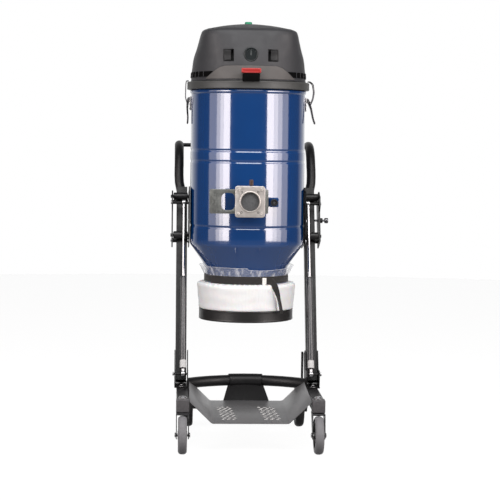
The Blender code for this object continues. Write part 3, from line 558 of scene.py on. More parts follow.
def patch(name, place, us, vs, lift, sink):
    """A raised panel on a curved surface: place(u, v, out) gives a point, and its border drops to sink."""
    bm = bmesh.new()
    us, vs = ([values[0]] + values + [values[-1]] for values in (us, vs))
    last_u, last_v = len(us) - 1, len(vs) - 1
    front = []
    for j, v in enumerate(vs):
        row = []
        for i, u in enumerate(us):
            rim = i in (0, last_u) or j in (0, last_v)
            row.append(bm.verts.new(at(*place(u, v, sink if rim else lift))))
        front.append(row)
    for j in range(last_v):
        for i in range(last_u):
            bm.faces.new((front[j][i], front[j][i + 1], front[j + 1][i + 1], front[j + 1][i]))
    back = [[bm.verts.new(at(*place(u, v, sink - 0.4))) for u in us[1:-1]] for v in vs[1:-1]]
    rows, cols = len(back), len(back[0])
    for j in range(rows - 1):
        for i in range(cols - 1):
            bm.faces.new((back[j][i], back[j + 1][i], back[j + 1][i + 1], back[j][i + 1]))
    border = front[0] + [r[-1] for r in front[1:]] + front[-1][-2::-1] + [r[0] for r in front[-2:0:-1]]
    bmesh.ops.remove_doubles(bm, verts=border, dist=1e-7)
    bmesh.ops.bridge_loops(bm, edges=[e for e in bm.edges if e.is_boundary])
    return from_bmesh(name, bm, 40)


def ribbon(name, path, acrosses, width, thick):
    """A flat strap along a path. acrosses gives, at each point, the direction of its width."""
    bm = bmesh.new()
    weave = bm.verts.layers.float_vector.new("weave")
    n = len(path)
    run = 0.0
    rings = []
    for k in range(n):
        here = Vector(path[k])
        ahead = Vector(path[min(n - 1, k + 1)]) - Vector(path[max(0, k - 1)])
        side = Vector(acrosses[k])
        side = (side - ahead.normalized() * side.dot(ahead.normalized())).normalized()
        out = ahead.normalized().cross(side).normalized()
        if k:
            run += (here - Vector(path[k - 1])).length
        ring = []
        for u, v in ((-0.5, -0.5), (-0.5, 0.5), (-0.46, 0.5), (-0.2, 0.5), (0.0, 0.5), (0.2, 0.5),
                     (0.46, 0.5), (0.5, 0.5), (0.5, -0.5), (0.46, -0.5), (0.0, -0.5), (-0.46, -0.5)):
            slim = 0.55 if abs(u) >= 0.5 else 1.0
            vert = bm.verts.new(at(*(here + side * (u * width) + out * (v * thick * slim))))
            vert[weave] = Vector((run, u * width, v * thick)) * 0.001
            ring.append(vert)
        rings.append(ring)
    for one, two in zip(rings, rings[1:]):
        bridge(bm, one, two)
    bm.faces.new(rings[0])
    bm.faces.new(rings[-1][::-1])
    return from_bmesh(name, bm, 60)


def dress(obj, body, slot, *nodes, look=None):
    """Give a piece its material, let it ride on its body and hide the CAD nodes it stands for."""
    obj.data.materials.clear()
    obj.data.materials.append(look or LOOKS[slot])
    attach(obj, body)
    if nodes:
        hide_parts(*nodes)
    return obj


def dress_nodes():
    """The CAD nodes that stay get the finish of their own slot."""
    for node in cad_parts.values():
        slots = [m.name.split(".")[0] for m in node.data.materials]
        node.data.materials.clear()
        for slot in slots:
            node.data.materials.append(LOOKS[slot])


def unit(angle):
    """Direction at an angle from the front, positive towards +X."""
    a = math.radians(angle)
    return math.sin(a), -math.cos(a)


# ---------------------------------------------------------------- tank

def tank_side():
    """Outer side of the tank from the neck's foot to the rolled top, with soft grooves."""
    line = [(NECK_R, NECK_LOW), (NECK_R, CONE_LOW - 6), (NECK_R + 1.4, CONE_LOW + 3),
            (TANK_R - 3, CONE_TOP - 4.5), (TANK_R - 0.5, CONE_TOP + 1.5), (TANK_R, CONE_TOP + 7)]
    for z in BEADS:
        for k in range(-8, 9):
            t = k / 8
            line.append((TANK_R - 1.7 * (0.5 + 0.5 * math.cos(math.pi * t)), z + 7.5 * t))
    line += [(TANK_R, TANK_TOP - 17), (TANK_R + 0.6, TANK_TOP - 14)]
    for k in range(9):
        a = math.radians(-70 + 160 * k / 8)
        line.append((TANK_R + 0.2 + 3.8 * math.cos(a), TANK_TOP - 7.5 + 6.0 * math.sin(a)))
    return line


def tank():
    line = tank_side()
    line += [(TANK_R - 3, TANK_TOP), (TANK_R - 3, CONE_TOP), (NECK_R - 2.5, CONE_LOW - 3),
             (NECK_R - 2.5, NECK_LOW)]
    shell = turned("tank_body", (0, 0, 0), (0, 0, 1), line, 192, angle=30)
    carve(shell, rod("hole", (0, -250, INLET_Z), (0, -150, INLET_Z), 37.2, 64), angle=30)
    dress(shell, "tank", "tank_blue", "tank_shell")

    def wall(u, v, out):
        r = TANK_R + out
        return r * math.sin(u), r * math.cos(u), v

    seam = patch("tank_weld_seam", wall, [k * 0.006 - 0.012 for k in range(5)],
                 [672 + 25 * k for k in range(21)], 0.7, -0.2)
    dress(seam, "tank", "tank_blue")
    plate = slab("stud_plate", corners(66, 98, INLET_Z - 18, INLET_Z + 14, 5), -173, -219.6, "Y", 0.8)
    carve(plate, rod("wall", (0, 0, INLET_Z - 30), (0, 0, INLET_Z + 30), TANK_R - 0.6, 160))
    dress(plate, "tank", "tank_blue")
    stud = rod("gate_stud", (KNOB_X, -216, INLET_Z - 2), (KNOB_X, -238, INLET_Z - 2), 3.9, 32, 0.6)
    dress(stud, "tank", "zinc")
    for tag, side in SIDES:
        latch_base(tag, side)


def latch_base(tag, side):
    lo, hi = sorted((side * 198.9, side * 204.1))
    base = block(f"latch_base_{tag}", (lo, -18.8, 1128.2), (hi, 18.8, 1175.8), 0.9)
    ear = [(203, 1156), (203, 1174), (210, 1173), (214, 1168), (214, 1162), (210, 1157)]
    ear = [(side * x, z) for x, z in rounded_line(ear, 3.0, 4, True)]
    ears = [slab("ear", ear, y, y + 2.4, "Y") for y in (-17, 14.6)]
    pivot = rod("pivot", (side * LATCH[0], -17.8, LATCH[1]), (side * LATCH[0], 17.8, LATCH[1]), 2.0, 24)
    carve(base, *ears, pivot, operation="UNION")
    dress(base, "tank", "zinc")
    for z in (1134, 1149):
        screw = turned(f"latch_screw_{tag}_{z}", (side * 203.9, 0, z), (side, 0, 0),
                       [(0, 0), (3.2, 0), (3.2, 0.7), (2.2, 1.5), (0.8, 1.6), (0, 1.2)], 24, 0.3)
        dress(screw, "tank", "zinc")


def toggles(tag, side):
    """A side latch: a pressed lever with its tail down and the wire bail over the rim."""
    open_by = math.radians(0 if side < 0 else 16)

    def swung(x, z):
        dx, dz = x - LATCH[0], z - LATCH[1]
        c, s = math.cos(open_by), math.sin(open_by)
        return side * (LATCH[0] + dx * c - dz * s), LATCH[1] + dx * s + dz * c

    shape = [(206.6, 1169.6), (212.4, 1169.6), (216.3, 1160), (216.3, 1135), (213.4, 1100), (214.8, 1083),
             (212, 1078.6), (208.7, 1082), (207.7, 1102), (209.7, 1135), (206.7, 1160)]
    lever = slab(f"latch_handle_{tag}", [swung(*p) for p in rounded_line(shape, 4.0, 4, True)], -12.3, 12.3,
                 "Y", 1.0)
    kx, kz = swung(211.5, 1146)
    holes = [rod("hole", (x, -20, z), (x, 20, z), r, 32)
             for x, z, r in ((side * LATCH[0], LATCH[1], 2.1), (kx, kz, 2.3))]
    dress(carve(lever, *holes), f"latch_lever_{tag}", "zinc", f"latch_lever_{tag}", look=STEEL)
    slack = 5.5 if side > 0 else 0.0
    top = 1230.0 + slack / 3
    bow = 219.5 + 1.5 * slack
    y = 19.6
    path = [(abs(kx), 5, kz), (abs(kx), y, kz), (bow, y, kz + 26),
            (218.8 + 2.2 * slack, y, 1196 + 20 * (side < 0)), (217 + 1.7 * slack, y, top - 8 * (side > 0)),
            (209.6 + slack, y, top), (209.6, y, top)]
    path += [(px, -py, pz) for px, py, pz in path[::-1]]
    wire = tube(f"latch_wire_{tag}", fillet_path([(side * px, py, pz) for px, py, pz in path], 6.0, 5), 1.7,
                16)
    dress(wire, f"latch_bail_{tag}", "zinc", f"latch_bail_{tag}", look=STEEL)


# ---------------------------------------------------------------- inlet and gate

def bolt_head(name, centre, axis, across, height, body, slot="zinc"):
    """A socket-head screw with a chamfered rim and a hexagon recess."""
    r = across / 2
    head = turned(name, centre, axis, [(0, 0), (r, 0), (r, height * 0.75), (r * 0.82, height),
                                       (r * 0.5, height), (r * 0.46, height * 0.45),
                                       (0, height * 0.45)], 30, 0.4)
    return dress(head, body, slot)


def inlet():
    z = INLET_Z
    face = slab("inlet_plate", corners(-50.4, 50.4, z - 53, z + 53, 9, 10), -244.4, -235.2, "Y", 1.4, 3)
    boss = turned("boss", (0, 0, z), (0, -1, 0), [(0, 240), (36.6, 240), (36, 246.6), (34.6, 247.4),
                                                  (0, 247.4)], 96,
                  0.6)
    carve(face, boss, operation="UNION")
    bore = turned("bore", (0, 0, z), (0, -1, 0), [(0, 180), (31.6, 180), (31.6, 245.9), (33.2, 247.6),
                                                  (33.2, 262), (0, 262)], 96)
    slot = rod("slot", (3.5, -240, z + 25), (3.5, -240, z + 60), 3.2, 32)
    carve(face, bore, slot)
    dress(face, "tank", "flange_alu", "inlet_flange")
    rear = slab("inlet_rear_plate", corners(-50.4, 50.4, z - 53, z + 53, 8), -230.9, -224.2, "Y", 1.0)
    parts = [turned("pipe", (0, 0, z), (0, -1, 0), [(0, 186), (36, 186), (36, 228), (0, 228)], 96)]
    for a, b in ((z - 51.8, z - 42), (z + 43, z + 51.8)):
        parts.append(block("bar", (-44, -236, a), (44, -229, b), 0.6))
    carve(rear, *parts, operation="UNION")
    carve(rear, rod("bore", (0, -240, z), (0, -180, z), 31.6, 96))
    dress(rear, "tank", "flange_alu")
    for x in (-39, 39):
        for dz in (-41, 41):
            bolt_head(f"inlet_screw_{'m' if x < 0 else 'p'}_{'m' if dz < 0 else 'p'}", (x, -244.0, z + dz),
                      (0, -1, 0), 9.5, 3.4, "tank", "flange_alu")
    for x in (-29, 27):
        for dz in (33, -36):
            pit = turned(f"inlet_tapping_{x}_{dz}".replace("-", "m"), (x, -244.2, z + dz), (0, -1, 0),
                         [(0, 0), (3.6, 0), (3.6, 0.5), (2.4, 0.5), (2.2, 0.15), (0, 0.15)], 24)
            dress(pit, "tank", "black_plastic")
    gate = slab("gate_plate", corners(-137.8, 61.8, z - 40.8, z + 41.8, 6), -234.1, -231.5, "Y")
    carve(gate, slab("window", corners(-97, -51, z - 29, z + 29, 17, 12), -240, -226, "Y"))
    ease(gate, 0.35, 2)
    dress(gate, "gate_slide", "gate_zinc", "gate_slide")
    # A thin dark disc on the gate's face inside the bore: painted shade of the bore.
    bore_shade_disc = turned("gate_bore_shade_disc", (0, 0, z), (0, -1, 0),
                 [(0, 234.1), (31.3, 234.1), (31.3, 234.5), (30.6, 234.8),
                  (0, 234.8)], 96)
    dress(bore_shade_disc, "gate_slide", "black_plastic", look=BORE_SHADE)
    pin = turned("lock_plunger", (3.5, -240, 0), (0, 0, 1), [
        (0, 852.6), (2.9, 852.6), (2.9, 872.6), (6.3, 872.6), (7.4, 875.4), (7.0, 880), (7.4, 884),
        (7.2, 889.4), (5.6, 892.6), (0, 893)], 40, 0.8)
    dress(pin, "hose_lock_pin", "black_plastic", "hose_lock_pin", look=BROWN)
    knob = turned("gate_knob_grip", (KNOB_X, 0, z - 2), (0, 1, 0), [
        (4.1, -222.2), (9, -222.2), (12.3, -228), (12.3, -239), (10.4, -241.9), (7, -241.9), (6, -238.6),
        (4.1, -238.6)], 60, 1.0)
    flutes = []
    for k in range(9):
        a = math.tau * k / 9
        x, dz = KNOB_X + 14.6 * math.cos(a), z - 2 + 14.6 * math.sin(a)
        flutes.append(rod("flute", (x, -226.5, dz), (x, -246, dz), 3.0, 20))
    carve(knob, *flutes)
    dress(knob, "gate_knob", "black_plastic", "gate_knob")
    nut = turned("gate_knob_nut", (KNOB_X, 0, z - 2), (0, 1, 0),
                 [(4.1, -238.6), (5.8, -238.6), (5.8, -240.6), (4.1, -240.6)], 6)
    dress(nut, "gate_knob", "zinc", look=KEY)


# ---------------------------------------------------------------- bag outlet

def wobble(x, y, scale, w):
    """Slow, fixed noise in a direction (x, y) from the axis. w tells one layer from the next."""
    return noise.noise(Vector((x * scale, y * scale, w)))


def crumpled(x, y, scale, w):
    """The same with finer and finer steps."""
    return noise.fractal(Vector((x * scale, y * scale, w)), 0.8, 2.1, 4)


def film_collar():
    """The clear film's free edge above the strap: gathered, wavy and flaring away from the cone."""
    cols, rows = 420, 20
    made = []
    for j in range(rows + 1):
        v = j / rows
        row = []
        for k in range(cols):
            a = math.tau * k / cols
            x, y = math.sin(a), -math.cos(a)
            front = max(0.0, math.cos(a))
            flare = 16.2 - 9.0 * front ** 3
            top = 589.0 - 8.5 * math.exp(-((math.degrees(a) - 22) / 34) ** 2) - 2.0 * front
            top += 2.2 * wobble(x, y, 2.2, 3.1) - 1.0
            folds = 1.5 * math.sin(34 * a + 3.0 * wobble(x, y, 3, 1.0))
            crumple = 2.6 * crumpled(x, y, 9, v * 1.3)
            gather = math.sin(math.pi * min(1.0, v * 1.2)) * 0.55 + 0.35 * v
            r = 150.4 + flare * v ** 1.35 + (folds * 0.55 + crumple) * gather
            z = 556.4 + (top - 556.4) * v
            keep_out = NECK_R + 4.2 + max(0.0, z - CONE_LOW) * 0.72
            r = min(167.0, max(r, keep_out))
            row.append((r * x, r * y, z))
        made.append(row)
    sheet = grid_sheet("film_skirt", made, 0.25)
    dress(sheet, "tank", "film_clear", "film_collar")
    edge = tube("film_hem", made[-1] + made[-1][:1], 0.55, 8)
    dress(edge, "tank", "film_clear", look=HEM)


def strap_path(start, end, r, height, steps):
    """Points round the neck from one angle to another, at heights that depend on the angle."""
    path = []
    for k in range(steps + 1):
        a = start + (end - start) * k / steps
        x, y = unit(a)
        path.append((r * x, r * y, height(a)))
    return path


def strap():
    """The webbing: once round the neck, a second layer to the buckle, and its loose tail."""
    upright = (0, 0, 1)
    path = strap_path(24, 384, 147.6, lambda a: 544.0 + 1.0 * math.sin(math.radians(a - 24) * 0.5), 120)
    ring = ribbon("bag_strap_ring", path, [upright] * len(path), 24.5, 1.6)
    dress(ring, "tank", "strap_black", "bag_strap")
    path = strap_path(-56, 22.6, 150.1, lambda a: 541.6 - 0.4 * math.cos(math.radians(a * 2)), 40)
    path.insert(0, (*[c * 149.2 for c in unit(-56.6)], 541.6))
    layer = ribbon("bag_strap_layer", path, [upright] * len(path), 24.5, 1.5)
    dress(layer, "tank", "strap_black")
    strap_tail()
    buckle()


def strap_tail():
    """From the buckle to the right, then over the cassette's shoulder and down, turned on edge."""
    knots = [
        ((*[c * 151.2 for c in unit(23)], 541.5), (0.0, 0.0, 1.0)),
        ((67.5, -137.6, 541.2), (0.05, 0.0, 1.0)),
        ((77, -140.0, 539.5), (0.28, 0.0, 0.96)),
        ((87, -149.5, 533.0), (0.6, -0.25, 0.75)),
        ((95, -158.0, 518.0), (0.75, -0.55, 0.4)),
        ((101, -158.5, 501.0), (0.62, -0.78, 0.2)),
        ((106, -155.5, 484.0), (0.45, -0.9, 0.1)),
        ((111, -151.5, 464.0), (0.4, -0.92, 0.0)),
        ((115, -147.0, 444.0), (0.42, -0.9, 0.0)),
        ((117, -144.5, 430.0), (0.45, -0.89, 0.0)),
    ]
    path = smooth_path([k[0] for k in knots], 8)
    across = smooth_path([k[1] for k in knots], 8)
    tail = ribbon("bag_strap_tail", path, across, 24.0, 1.5)
    dress(tail, "tank", "strap_black")


def buckle():
    """A moulded white cam buckle, curved to the neck, with a rib."""
    def wall(u, v, out):
        x, y = unit(u)
        r = 151.2 + out
        return r * x, r * y, v

    def body(u, v, out):
        k = (u - 22.0) / 2.7
        w = (v - 541) / 12.0
        bulge = 1.0 - 0.35 * k * k - 0.25 * w ** 4
        return wall(u, v, out * bulge if out > 0 else out)

    us = [19.3 + 5.4 * k / 10 for k in range(11)]
    vs = [529.4 + 23.2 * k / 14 for k in range(15)]
    plate = patch("strap_buckle", body, us, vs, 3.0, -0.3)
    dress(plate, "tank", "strap_black", look=CREAM)
    rib = tube("strap_buckle_bar", [(*[c * 154.6 for c in unit(a)], 541.0 + 8.5 * s) for a, s in
                                    ((22.0, -1), (22.0, 1))], 1.1, 12)
    dress(rib, "tank", "strap_black", look=CREAM)


def cassette():
    """The folded film tube in its cassette: a soft white drum, pleated where the film leaves it."""
    line = [(150, 437.2), (163, 437.2), (166.2, 438.5), (167.6, 444), (168.4, 456), (169.8, 475),
            (171.4, 495), (172.6, 511), (172.6, 519), (170.6, 524.4), (166, 527.4), (158, 528.6),
            (151, 529.2), (146.6, 529.4)]
    fine = smooth_path([(r, 0, z) for r, z in line], 4)
    cols = 360
    rows = []
    for p in fine:
        r0, z0 = p.x, p.z
        top = smoothstep((z0 - 505) / 22)
        row = []
        for k in range(cols):
            a = math.tau * k / cols
            x, y = math.sin(a), -math.cos(a)
            soft = 1.3 * wobble(x, y, 1.7, z0 * 0.008) - 0.7
            folds = 0.5 * crumpled(x, y, 5, z0 * 0.02)
            sag = 0.5 * math.sin(z0 * 0.16 + 2.4 * wobble(x, y, 2, 0.0))
            pleat = 1.5 * top * math.sin(52 * a + 5 * wobble(x, y, 2.5, 5.0))
            crease = flap_crease(math.degrees(a), z0)
            inner = smoothstep((r0 - 146.0) / 8.0)
            r = r0 + (soft + folds + sag * 0.6 + crease) * inner
            z = z0 + (pleat - 0.8 * top) * inner
            row.append((min(172.9, r) * x, min(172.9, r) * y, max(437.0, min(529.6, z))))
        rows.append(row)
    drum = grid_sheet("bag_drum", rows, 2.2)
    dress(drum, "tank", "bag_white", "bag_cassette")


def flap_crease(angle, z):
    """A soft fold that runs down the front from the strap's tail."""
    centre = 31.0 + 7.5 * smoothstep((525 - z) / 60) + 0.03 * (470 - z)
    d = angle - centre
    return -1.7 * math.exp(-(d / 1.3) ** 2) + 1.1 * math.exp(-((d + 3.2) / 2.2) ** 2)


def cassette_band():
    ring = turned("cassette_band", (0, 0, 0), (0, 0, 1), [
        (140, 398.5), (163.5, 398.1), (165.6, 400), (165.9, 403), (165.3, 405.5), (165.3, 430.5),
        (165.9, 433), (165.7, 435.6), (164, 436.3), (145.6, 436.4), (145.6, 404.7), (140, 404.7)], 176, 0.8)
    dress(ring, "tank", "black_plastic", "cassette_ring", look=BAND)
    for a in (-150, 150):
        x, y = unit(a)
        lug = turned(f"cassette_lug_{'L' if a < 0 else 'R'}", (x * 165.0, y * 165.0, 417), (x, y, 0),
                     [(0, 0), (5.5, 0), (5.5, 1.6), (3.6, 2.6), (0, 2.6)], 30, 0.5)
        dress(lug, "tank", "zinc")


# ---------------------------------------------------------------- head and hood

def hood_section(z):
    """Half widths and exponent of the hood at a height, smoothly between its sections."""
    rows = HOOD
    if z <= rows[0][0]:
        return rows[0][1:]
    for k in range(len(rows) - 1):
        z0, z1 = rows[k][0], rows[k + 1][0]
        if z <= z1:
            t = (z - z0) / (z1 - z0)
            before = rows[max(0, k - 1)]
            after = rows[min(len(rows) - 1, k + 2)]
            made = []
            for c in (1, 2, 3):
                p1, p2 = rows[k][c], rows[k + 1][c]
                m1 = (p2 - before[c]) / max(1e-6, z1 - before[0]) * (z1 - z0)
                m2 = (after[c] - p1) / max(1e-6, after[0] - z0) * (z1 - z0)
                value = ((2 * t ** 3 - 3 * t * t + 1) * p1 + (t ** 3 - 2 * t * t + t) * m1
                         + (-2 * t ** 3 + 3 * t * t) * p2 + (t ** 3 - t * t) * m2)
                made.append(min(value, max(p1, p2)))
            return made
    return rows[-1][1:]


def hood_point(t, z, out=0.0):
    """A point of the hood's surface: t is the angle round from the front, positive towards +X."""
    a, b, n = hood_section(z)
    c, s = math.cos(t), math.sin(t)
    x = (a + out) * math.copysign(abs(s) ** (2 / n), s)
    y = -(b + out) * math.copysign(abs(c) ** (2 / n), c)
    return x, y, z


def hood_front(x, z, out=0.0):
    """The hood's surface in front, at a given X."""
    a, b, n = hood_section(z)
    ratio = min(1.0, abs(x) / (a + out))
    return x, -(b + out) * (1 - ratio ** n) ** (1 / n), z


def hood_heights():
    made = [1228.0 + 4.0 * k for k in range(42)]
    made += [1395, 1398, 1401, 1404, 1406.5, 1409, 1411.5, 1414, 1416.5, 1419, 1421.5, 1424, 1426]
    return made


def hood_solid(name, grow, low=None, rise=0.0):
    """The hood's outside, grown by a margin and raised: its shell and the hollow inside it."""
    bm = bmesh.new()
    rings = []
    for k, z in enumerate(hood_heights()):
        level = low if low is not None and k == 0 else z + rise
        ring = []
        for j in range(HOOD_SEG):
            x, y, _ = hood_point(math.tau * j / HOOD_SEG, z, grow)
            ring.append(bm.verts.new(at(x, y, level)))
        rings.append(ring)
    for one, two in zip(rings, rings[1:]):
        bridge(bm, one, two)
    bm.faces.new(rings[0])
    last = rings[-1]
    for share, z in ((0.72, 1427.6), (0.42, 1428.6), (0.16, 1429.0)):
        ring = []
        for j in range(HOOD_SEG):
            x, y, _ = hood_point(math.tau * j / HOOD_SEG, 1426.0, grow)
            ring.append(bm.verts.new(at(x * share, y * share, z + rise)))
        bridge(bm, last, ring)
        last = ring
    bridge(bm, last, [bm.verts.new(at(0, 0, HOOD_TOP + rise))])
    return from_bmesh(name, bm, 30)


def hood():
    shell = hood_solid("hood_shell", 0.0)
    carve(shell, hood_solid("inside", -3.4, low=1220.0, rise=-3.2), angle=28)
    cuts = [slab("well", corners(side * SWITCH_X - 18.2, side * SWITCH_X + 18.2, SWITCH_Z - 21.4,
                                 SWITCH_Z + 21.4, 3.0, 5), -217, -140, "Y")
            for _, side in SIDES]
    cuts.append(rod("port", (0, -215, GAUGE_Z), (0, -150, GAUGE_Z), 24.8, 72))
    cuts.append(rod("port", (0, BUTTON_Y, 1400), (0, BUTTON_Y, 1450), 13.8, 48))
    carve(shell, *cuts, angle=28)
    dress(shell, "hood", "hood_grey", "hood")
    collar = turned("button_collar", (0, BUTTON_Y, 0), (0, 0, 1), [
        (13.9, 1422), (19, 1422), (18.2, 1431), (16.8, 1432.4), (14.6, 1432.4), (13.9, 1431)], 60, 0.8)
    dress(collar, "hood", "black_plastic")
    lip = [(196.9, 1228.2), (200.2, 1228.0), (200.9, 1229.2), (200.9, 1231.6), (200.2, 1232.6),
           (196.9, 1232.6)]
    band = turned("hood_lip", (0, 0, 0), (0, 0, 1), lip, 168, 0.5)
    dress(band, "hood", "hood_grey")
    for tag, side in SIDES:
        lo, hi = sorted((side * 33.3, side * 51.2))
        lug = slab(f"hinge_lug_{tag}", rounded_line(
            [(190, 1232), (211.5, 1230), (217, 1236), (211.5, 1242.5), (200, 1258), (190, 1258)], 3.0, 4,
            True), lo, hi, "X", 0.8)
        dress(lug, "hood", "hood_grey")
    top_seam()


def top_seam():
    """A fine raised line that frames the hood's roof."""
    path = [hood_point(math.tau * k / 96, 1407.0, 0.15) for k in range(97)]
    dress(tube("hood_roof_line", path, 0.7, 8), "hood", "hood_grey")


ARCH = rounded_line([(0, 1278.0), (92, 1277.4), (114, 1268.0), (152, 1235.5)], 14.0, 6)


def arch(x):
    """Height of the fascia's upper edge: flat in the middle, then sloping down to each side."""
    x = abs(x)
    for (x0, z0), (x1, z1) in zip(ARCH, ARCH[1:]):
        if x <= x1:
            return z0 + (z1 - z0) * (x - x0) / max(1e-6, x1 - x0)
    return ARCH[-1][1]


def fascia():
    def panel(u, v, out):
        low = 1233.2
        z = low + v * (arch(u) - low)
        return hood_front(u, z, out)

    us = [-151.5 + 303 * k / 72 for k in range(73)]
    vs = [k / 14 for k in range(15)]
    dress(patch("fascia_skin", panel, us, vs, 2.2, 0.2), "hood", "fascia_grey", "fascia_panel")
    groove = [panel(u, 1.0, 0.5) for u in us]
    dress(tube("fascia_shadow_line", [(x, y, z + 0.9) for x, y, z in groove], 0.9, 8), "hood", "hood_grey")
    for tag, side in SIDES:
        vent(tag, side)


def vent(tag, side):
    """A side air outlet: its opening drawn as a raised matte-black patch, which is painted shade, with ribs;
    its inner end slanted.
    """
    first, last = math.radians(44.8), math.radians(99)
    low, high = 1240.4, 18.4

    def slot(u, v, out):
        z = low + high * v
        inner = first - math.radians(5.9) * v
        x, y, _ = hood_point(side * (inner + (last - inner) * u), z, out)
        return x, y, z

    us = [k / 48 for k in range(49)]
    # The slot's opening is a raised near-black patch: painted shade of the outlet's inside.
    dress(patch(f"vent_slot_{tag}", slot, us, [0, 0.25, 0.5, 0.75, 1.0], 1.3, 0.1), "hood", "black_plastic",
          look=MATTE_AND_SHADE)
    for k in range(1, 7):
        turn = side * (first + (last - first) * k / 7)
        path = [hood_point(turn, low + high * v, 1.5) for v in (-0.02, 0.25, 0.5, 0.75, 1.02)]
        dress(tube(f"vent_rib_{tag}_{k}", path, 1.0, 10), "hood", "hood_grey")
    for end, v in (("low", -0.05), ("top", 1.05)):
        path = [slot(k / 40, v, 0.5) for k in range(41)]
        dress(tube(f"vent_edge_{tag}_{end}", path, 0.6, 8), "hood", "hood_grey")


def head_rim():
    """The clamped rim under the hood, with a rolled edge."""
    ring = turned("head_rim", (0, 0, 0), (0, 0, 1), [
        (0, 1203), (190, 1199.5), (210.5, 1199.4), (213.4, 1200.6), (213.9, 1203.4), (213.4, 1206.5),
        (213.4, 1219), (213.9, 1222.4), (213.2, 1225.4), (210, 1226.8), (202.5, 1226.9), (201.6, 1224.4),
        (198, 1224.4), (197, 1226.9), (190, 1226.9), (186, 1209), (0, 1209)], 192, 1.2)
    cuts = [rod("draw", (x, 0, 1190), (x, 0, 1215), 30.0, 48) for x in (-78, 78)]
    carve(ring, *cuts)
    dress(ring, "tank", "rim_grey", "head_base")
    gasket = turned("rim_gasket", (0, 0, 0), (0, 0, 1),
                    [(196, 1224.2), (203.6, 1224.2), (203.6, 1227.3), (196, 1227.3)], 160,
                    0.6)
    dress(gasket, "tank", "black_plastic", look=MATTE_AND_SHADE)
    for tag, side in SIDES:
        lo, hi = sorted((side * 52.2, side * 59.8))
        ear = slab(f"hinge_ear_{tag}", rounded_line(
            [(203, 1222), (218.8, 1222), (218.8, 1238), (213, 1242.8), (207, 1242.8), (203, 1238)], 3.5, 4,
            True), lo, hi, "X", 0.8)
        carve(ear, rod("pin", (side * 30, 211.5, 1236), (side * 56, 211.5, 1236), 2.95, 32),
              operation="UNION")
        dress(ear, "tank", "rim_grey")
    gland = turned("cable_gland", (110, 0, 1213), (0, 1, 0), [
        (0, 182.2), (9, 182.2), (9, 200), (11.8, 200.4), (11.8, 205), (9.4, 221), (8.4, 221.8),
        (4.6, 221.8), (4.6, 215), (0, 215)], 48, 0.7)
    dress(gland, "tank", "black_plastic")


# ---------------------------------------------------------------- controls

def rockers():
    for tag, side in SIDES:
        x = side * SWITCH_X
        bezel = slab(f"switch_frame_{tag}", corners(x - 17.9, x + 17.9, SWITCH_Z - 21.1, SWITCH_Z + 21.1,
                                                    2.6, 5), -171.8, -148.2,
                     "Y", 0.7)
        carve(bezel, slab("well", corners(x - 15.5, x + 15.5, SWITCH_Z - 18.8, SWITCH_Z + 18.8, 1.6, 4),
                          -190, -153, "Y"))
        dress(bezel, "hood", "black_plastic", f"switch_bezel_{tag}", look=BEZEL)
        shape = [(-161.6, 1296), (-172.3, 1296), (-171.6, 1308), (-171.4, 1313), (-172.4, 1319),
                 (-175.8, 1330.1), (-161.6, 1330.1)]
        lo, hi = sorted((x + side * 14.8, x - side * 8.0))
        key = slab(f"rocker_key_{tag}", rounded_line(shape, 1.6, 4, True), lo, hi, "X", 0.8)
        dress(key, f"rocker_{tag}", "black_plastic", f"rocker_{tag}", look=KEY)
        for k in range(3):
            y, z = -173.1 - 0.85 * k, 1322.5 + 2.4 * k
            grip = tube(f"rocker_grip_{tag}_{k}", [(lo + 4, y, z), (hi - 4, y, z)], 0.45, 8)
            dress(grip, f"rocker_{tag}", "black_plastic", look=KEY)


def gauge():
    case = turned("gauge_body", (0, 0, GAUGE_Z), (0, 1, 0), [
        (0, -181.6), (20.2, -181.6), (20.6, -187.4), (22.0, -188.0), (23.8, -187.6), (24.3, -186),
        (24.3, -160.2), (0, -160.2)], 96, 0.5)
    post = rod("post", (0, -183.4, GAUGE_Z), (0, -178, GAUGE_Z), 1.2, 24)
    carve(case, post, operation="UNION")
    dress(case, "hood", "dial_black", "gauge_case")
    for k in range(13):
        a = math.radians(-60 + 10 * k)
        c, s = math.cos(a), math.sin(a)
        long = 4.2 if k % 3 == 0 else 2.6
        path = [(s * r, -181.9, GAUGE_Z + c * r) for r in (18.4 - long, 18.4)]
        dress(tube(f"gauge_mark_{k:02d}", path, 0.32, 8), "hood", "dial_black", look=MARKS)
    needle = slab("gauge_pointer", [(-1.0, 1312.2), (1.0, 1312.2), (2.5, GAUGE_Z), (0.5, 1332.8),
                                    (-0.5, 1332.8), (-2.5, GAUGE_Z)],
                  -184.15, -183.85, "Y")
    dress(needle, "gauge_needle", "red_plastic", "gauge_needle", look=MARKS)
    glass = turned("gauge_lens", (0, 0, GAUGE_Z), (0, 1, 0), [
        (0, -186.4), (12, -186.3), (20.0, -186.0), (20.3, -185.2), (12, -185.5),
        (0, -185.6)], 72)
    dress(glass, "hood", "dial_black", look=LENS)


def button():
    cap = turned("pulse_cap", (0, BUTTON_Y, 0), (0, 0, 1), [
        (0, 1412.2), (16.3, 1412.2), (16.3, 1416.3), (12.9, 1416.6), (12.9, 1437.2), (11.6, 1439.9),
        (9.0, 1440.3), (0, 1440.9)], 60, 0.9)
    dress(cap, "pulse_button", "green_plastic", "pulse_button")


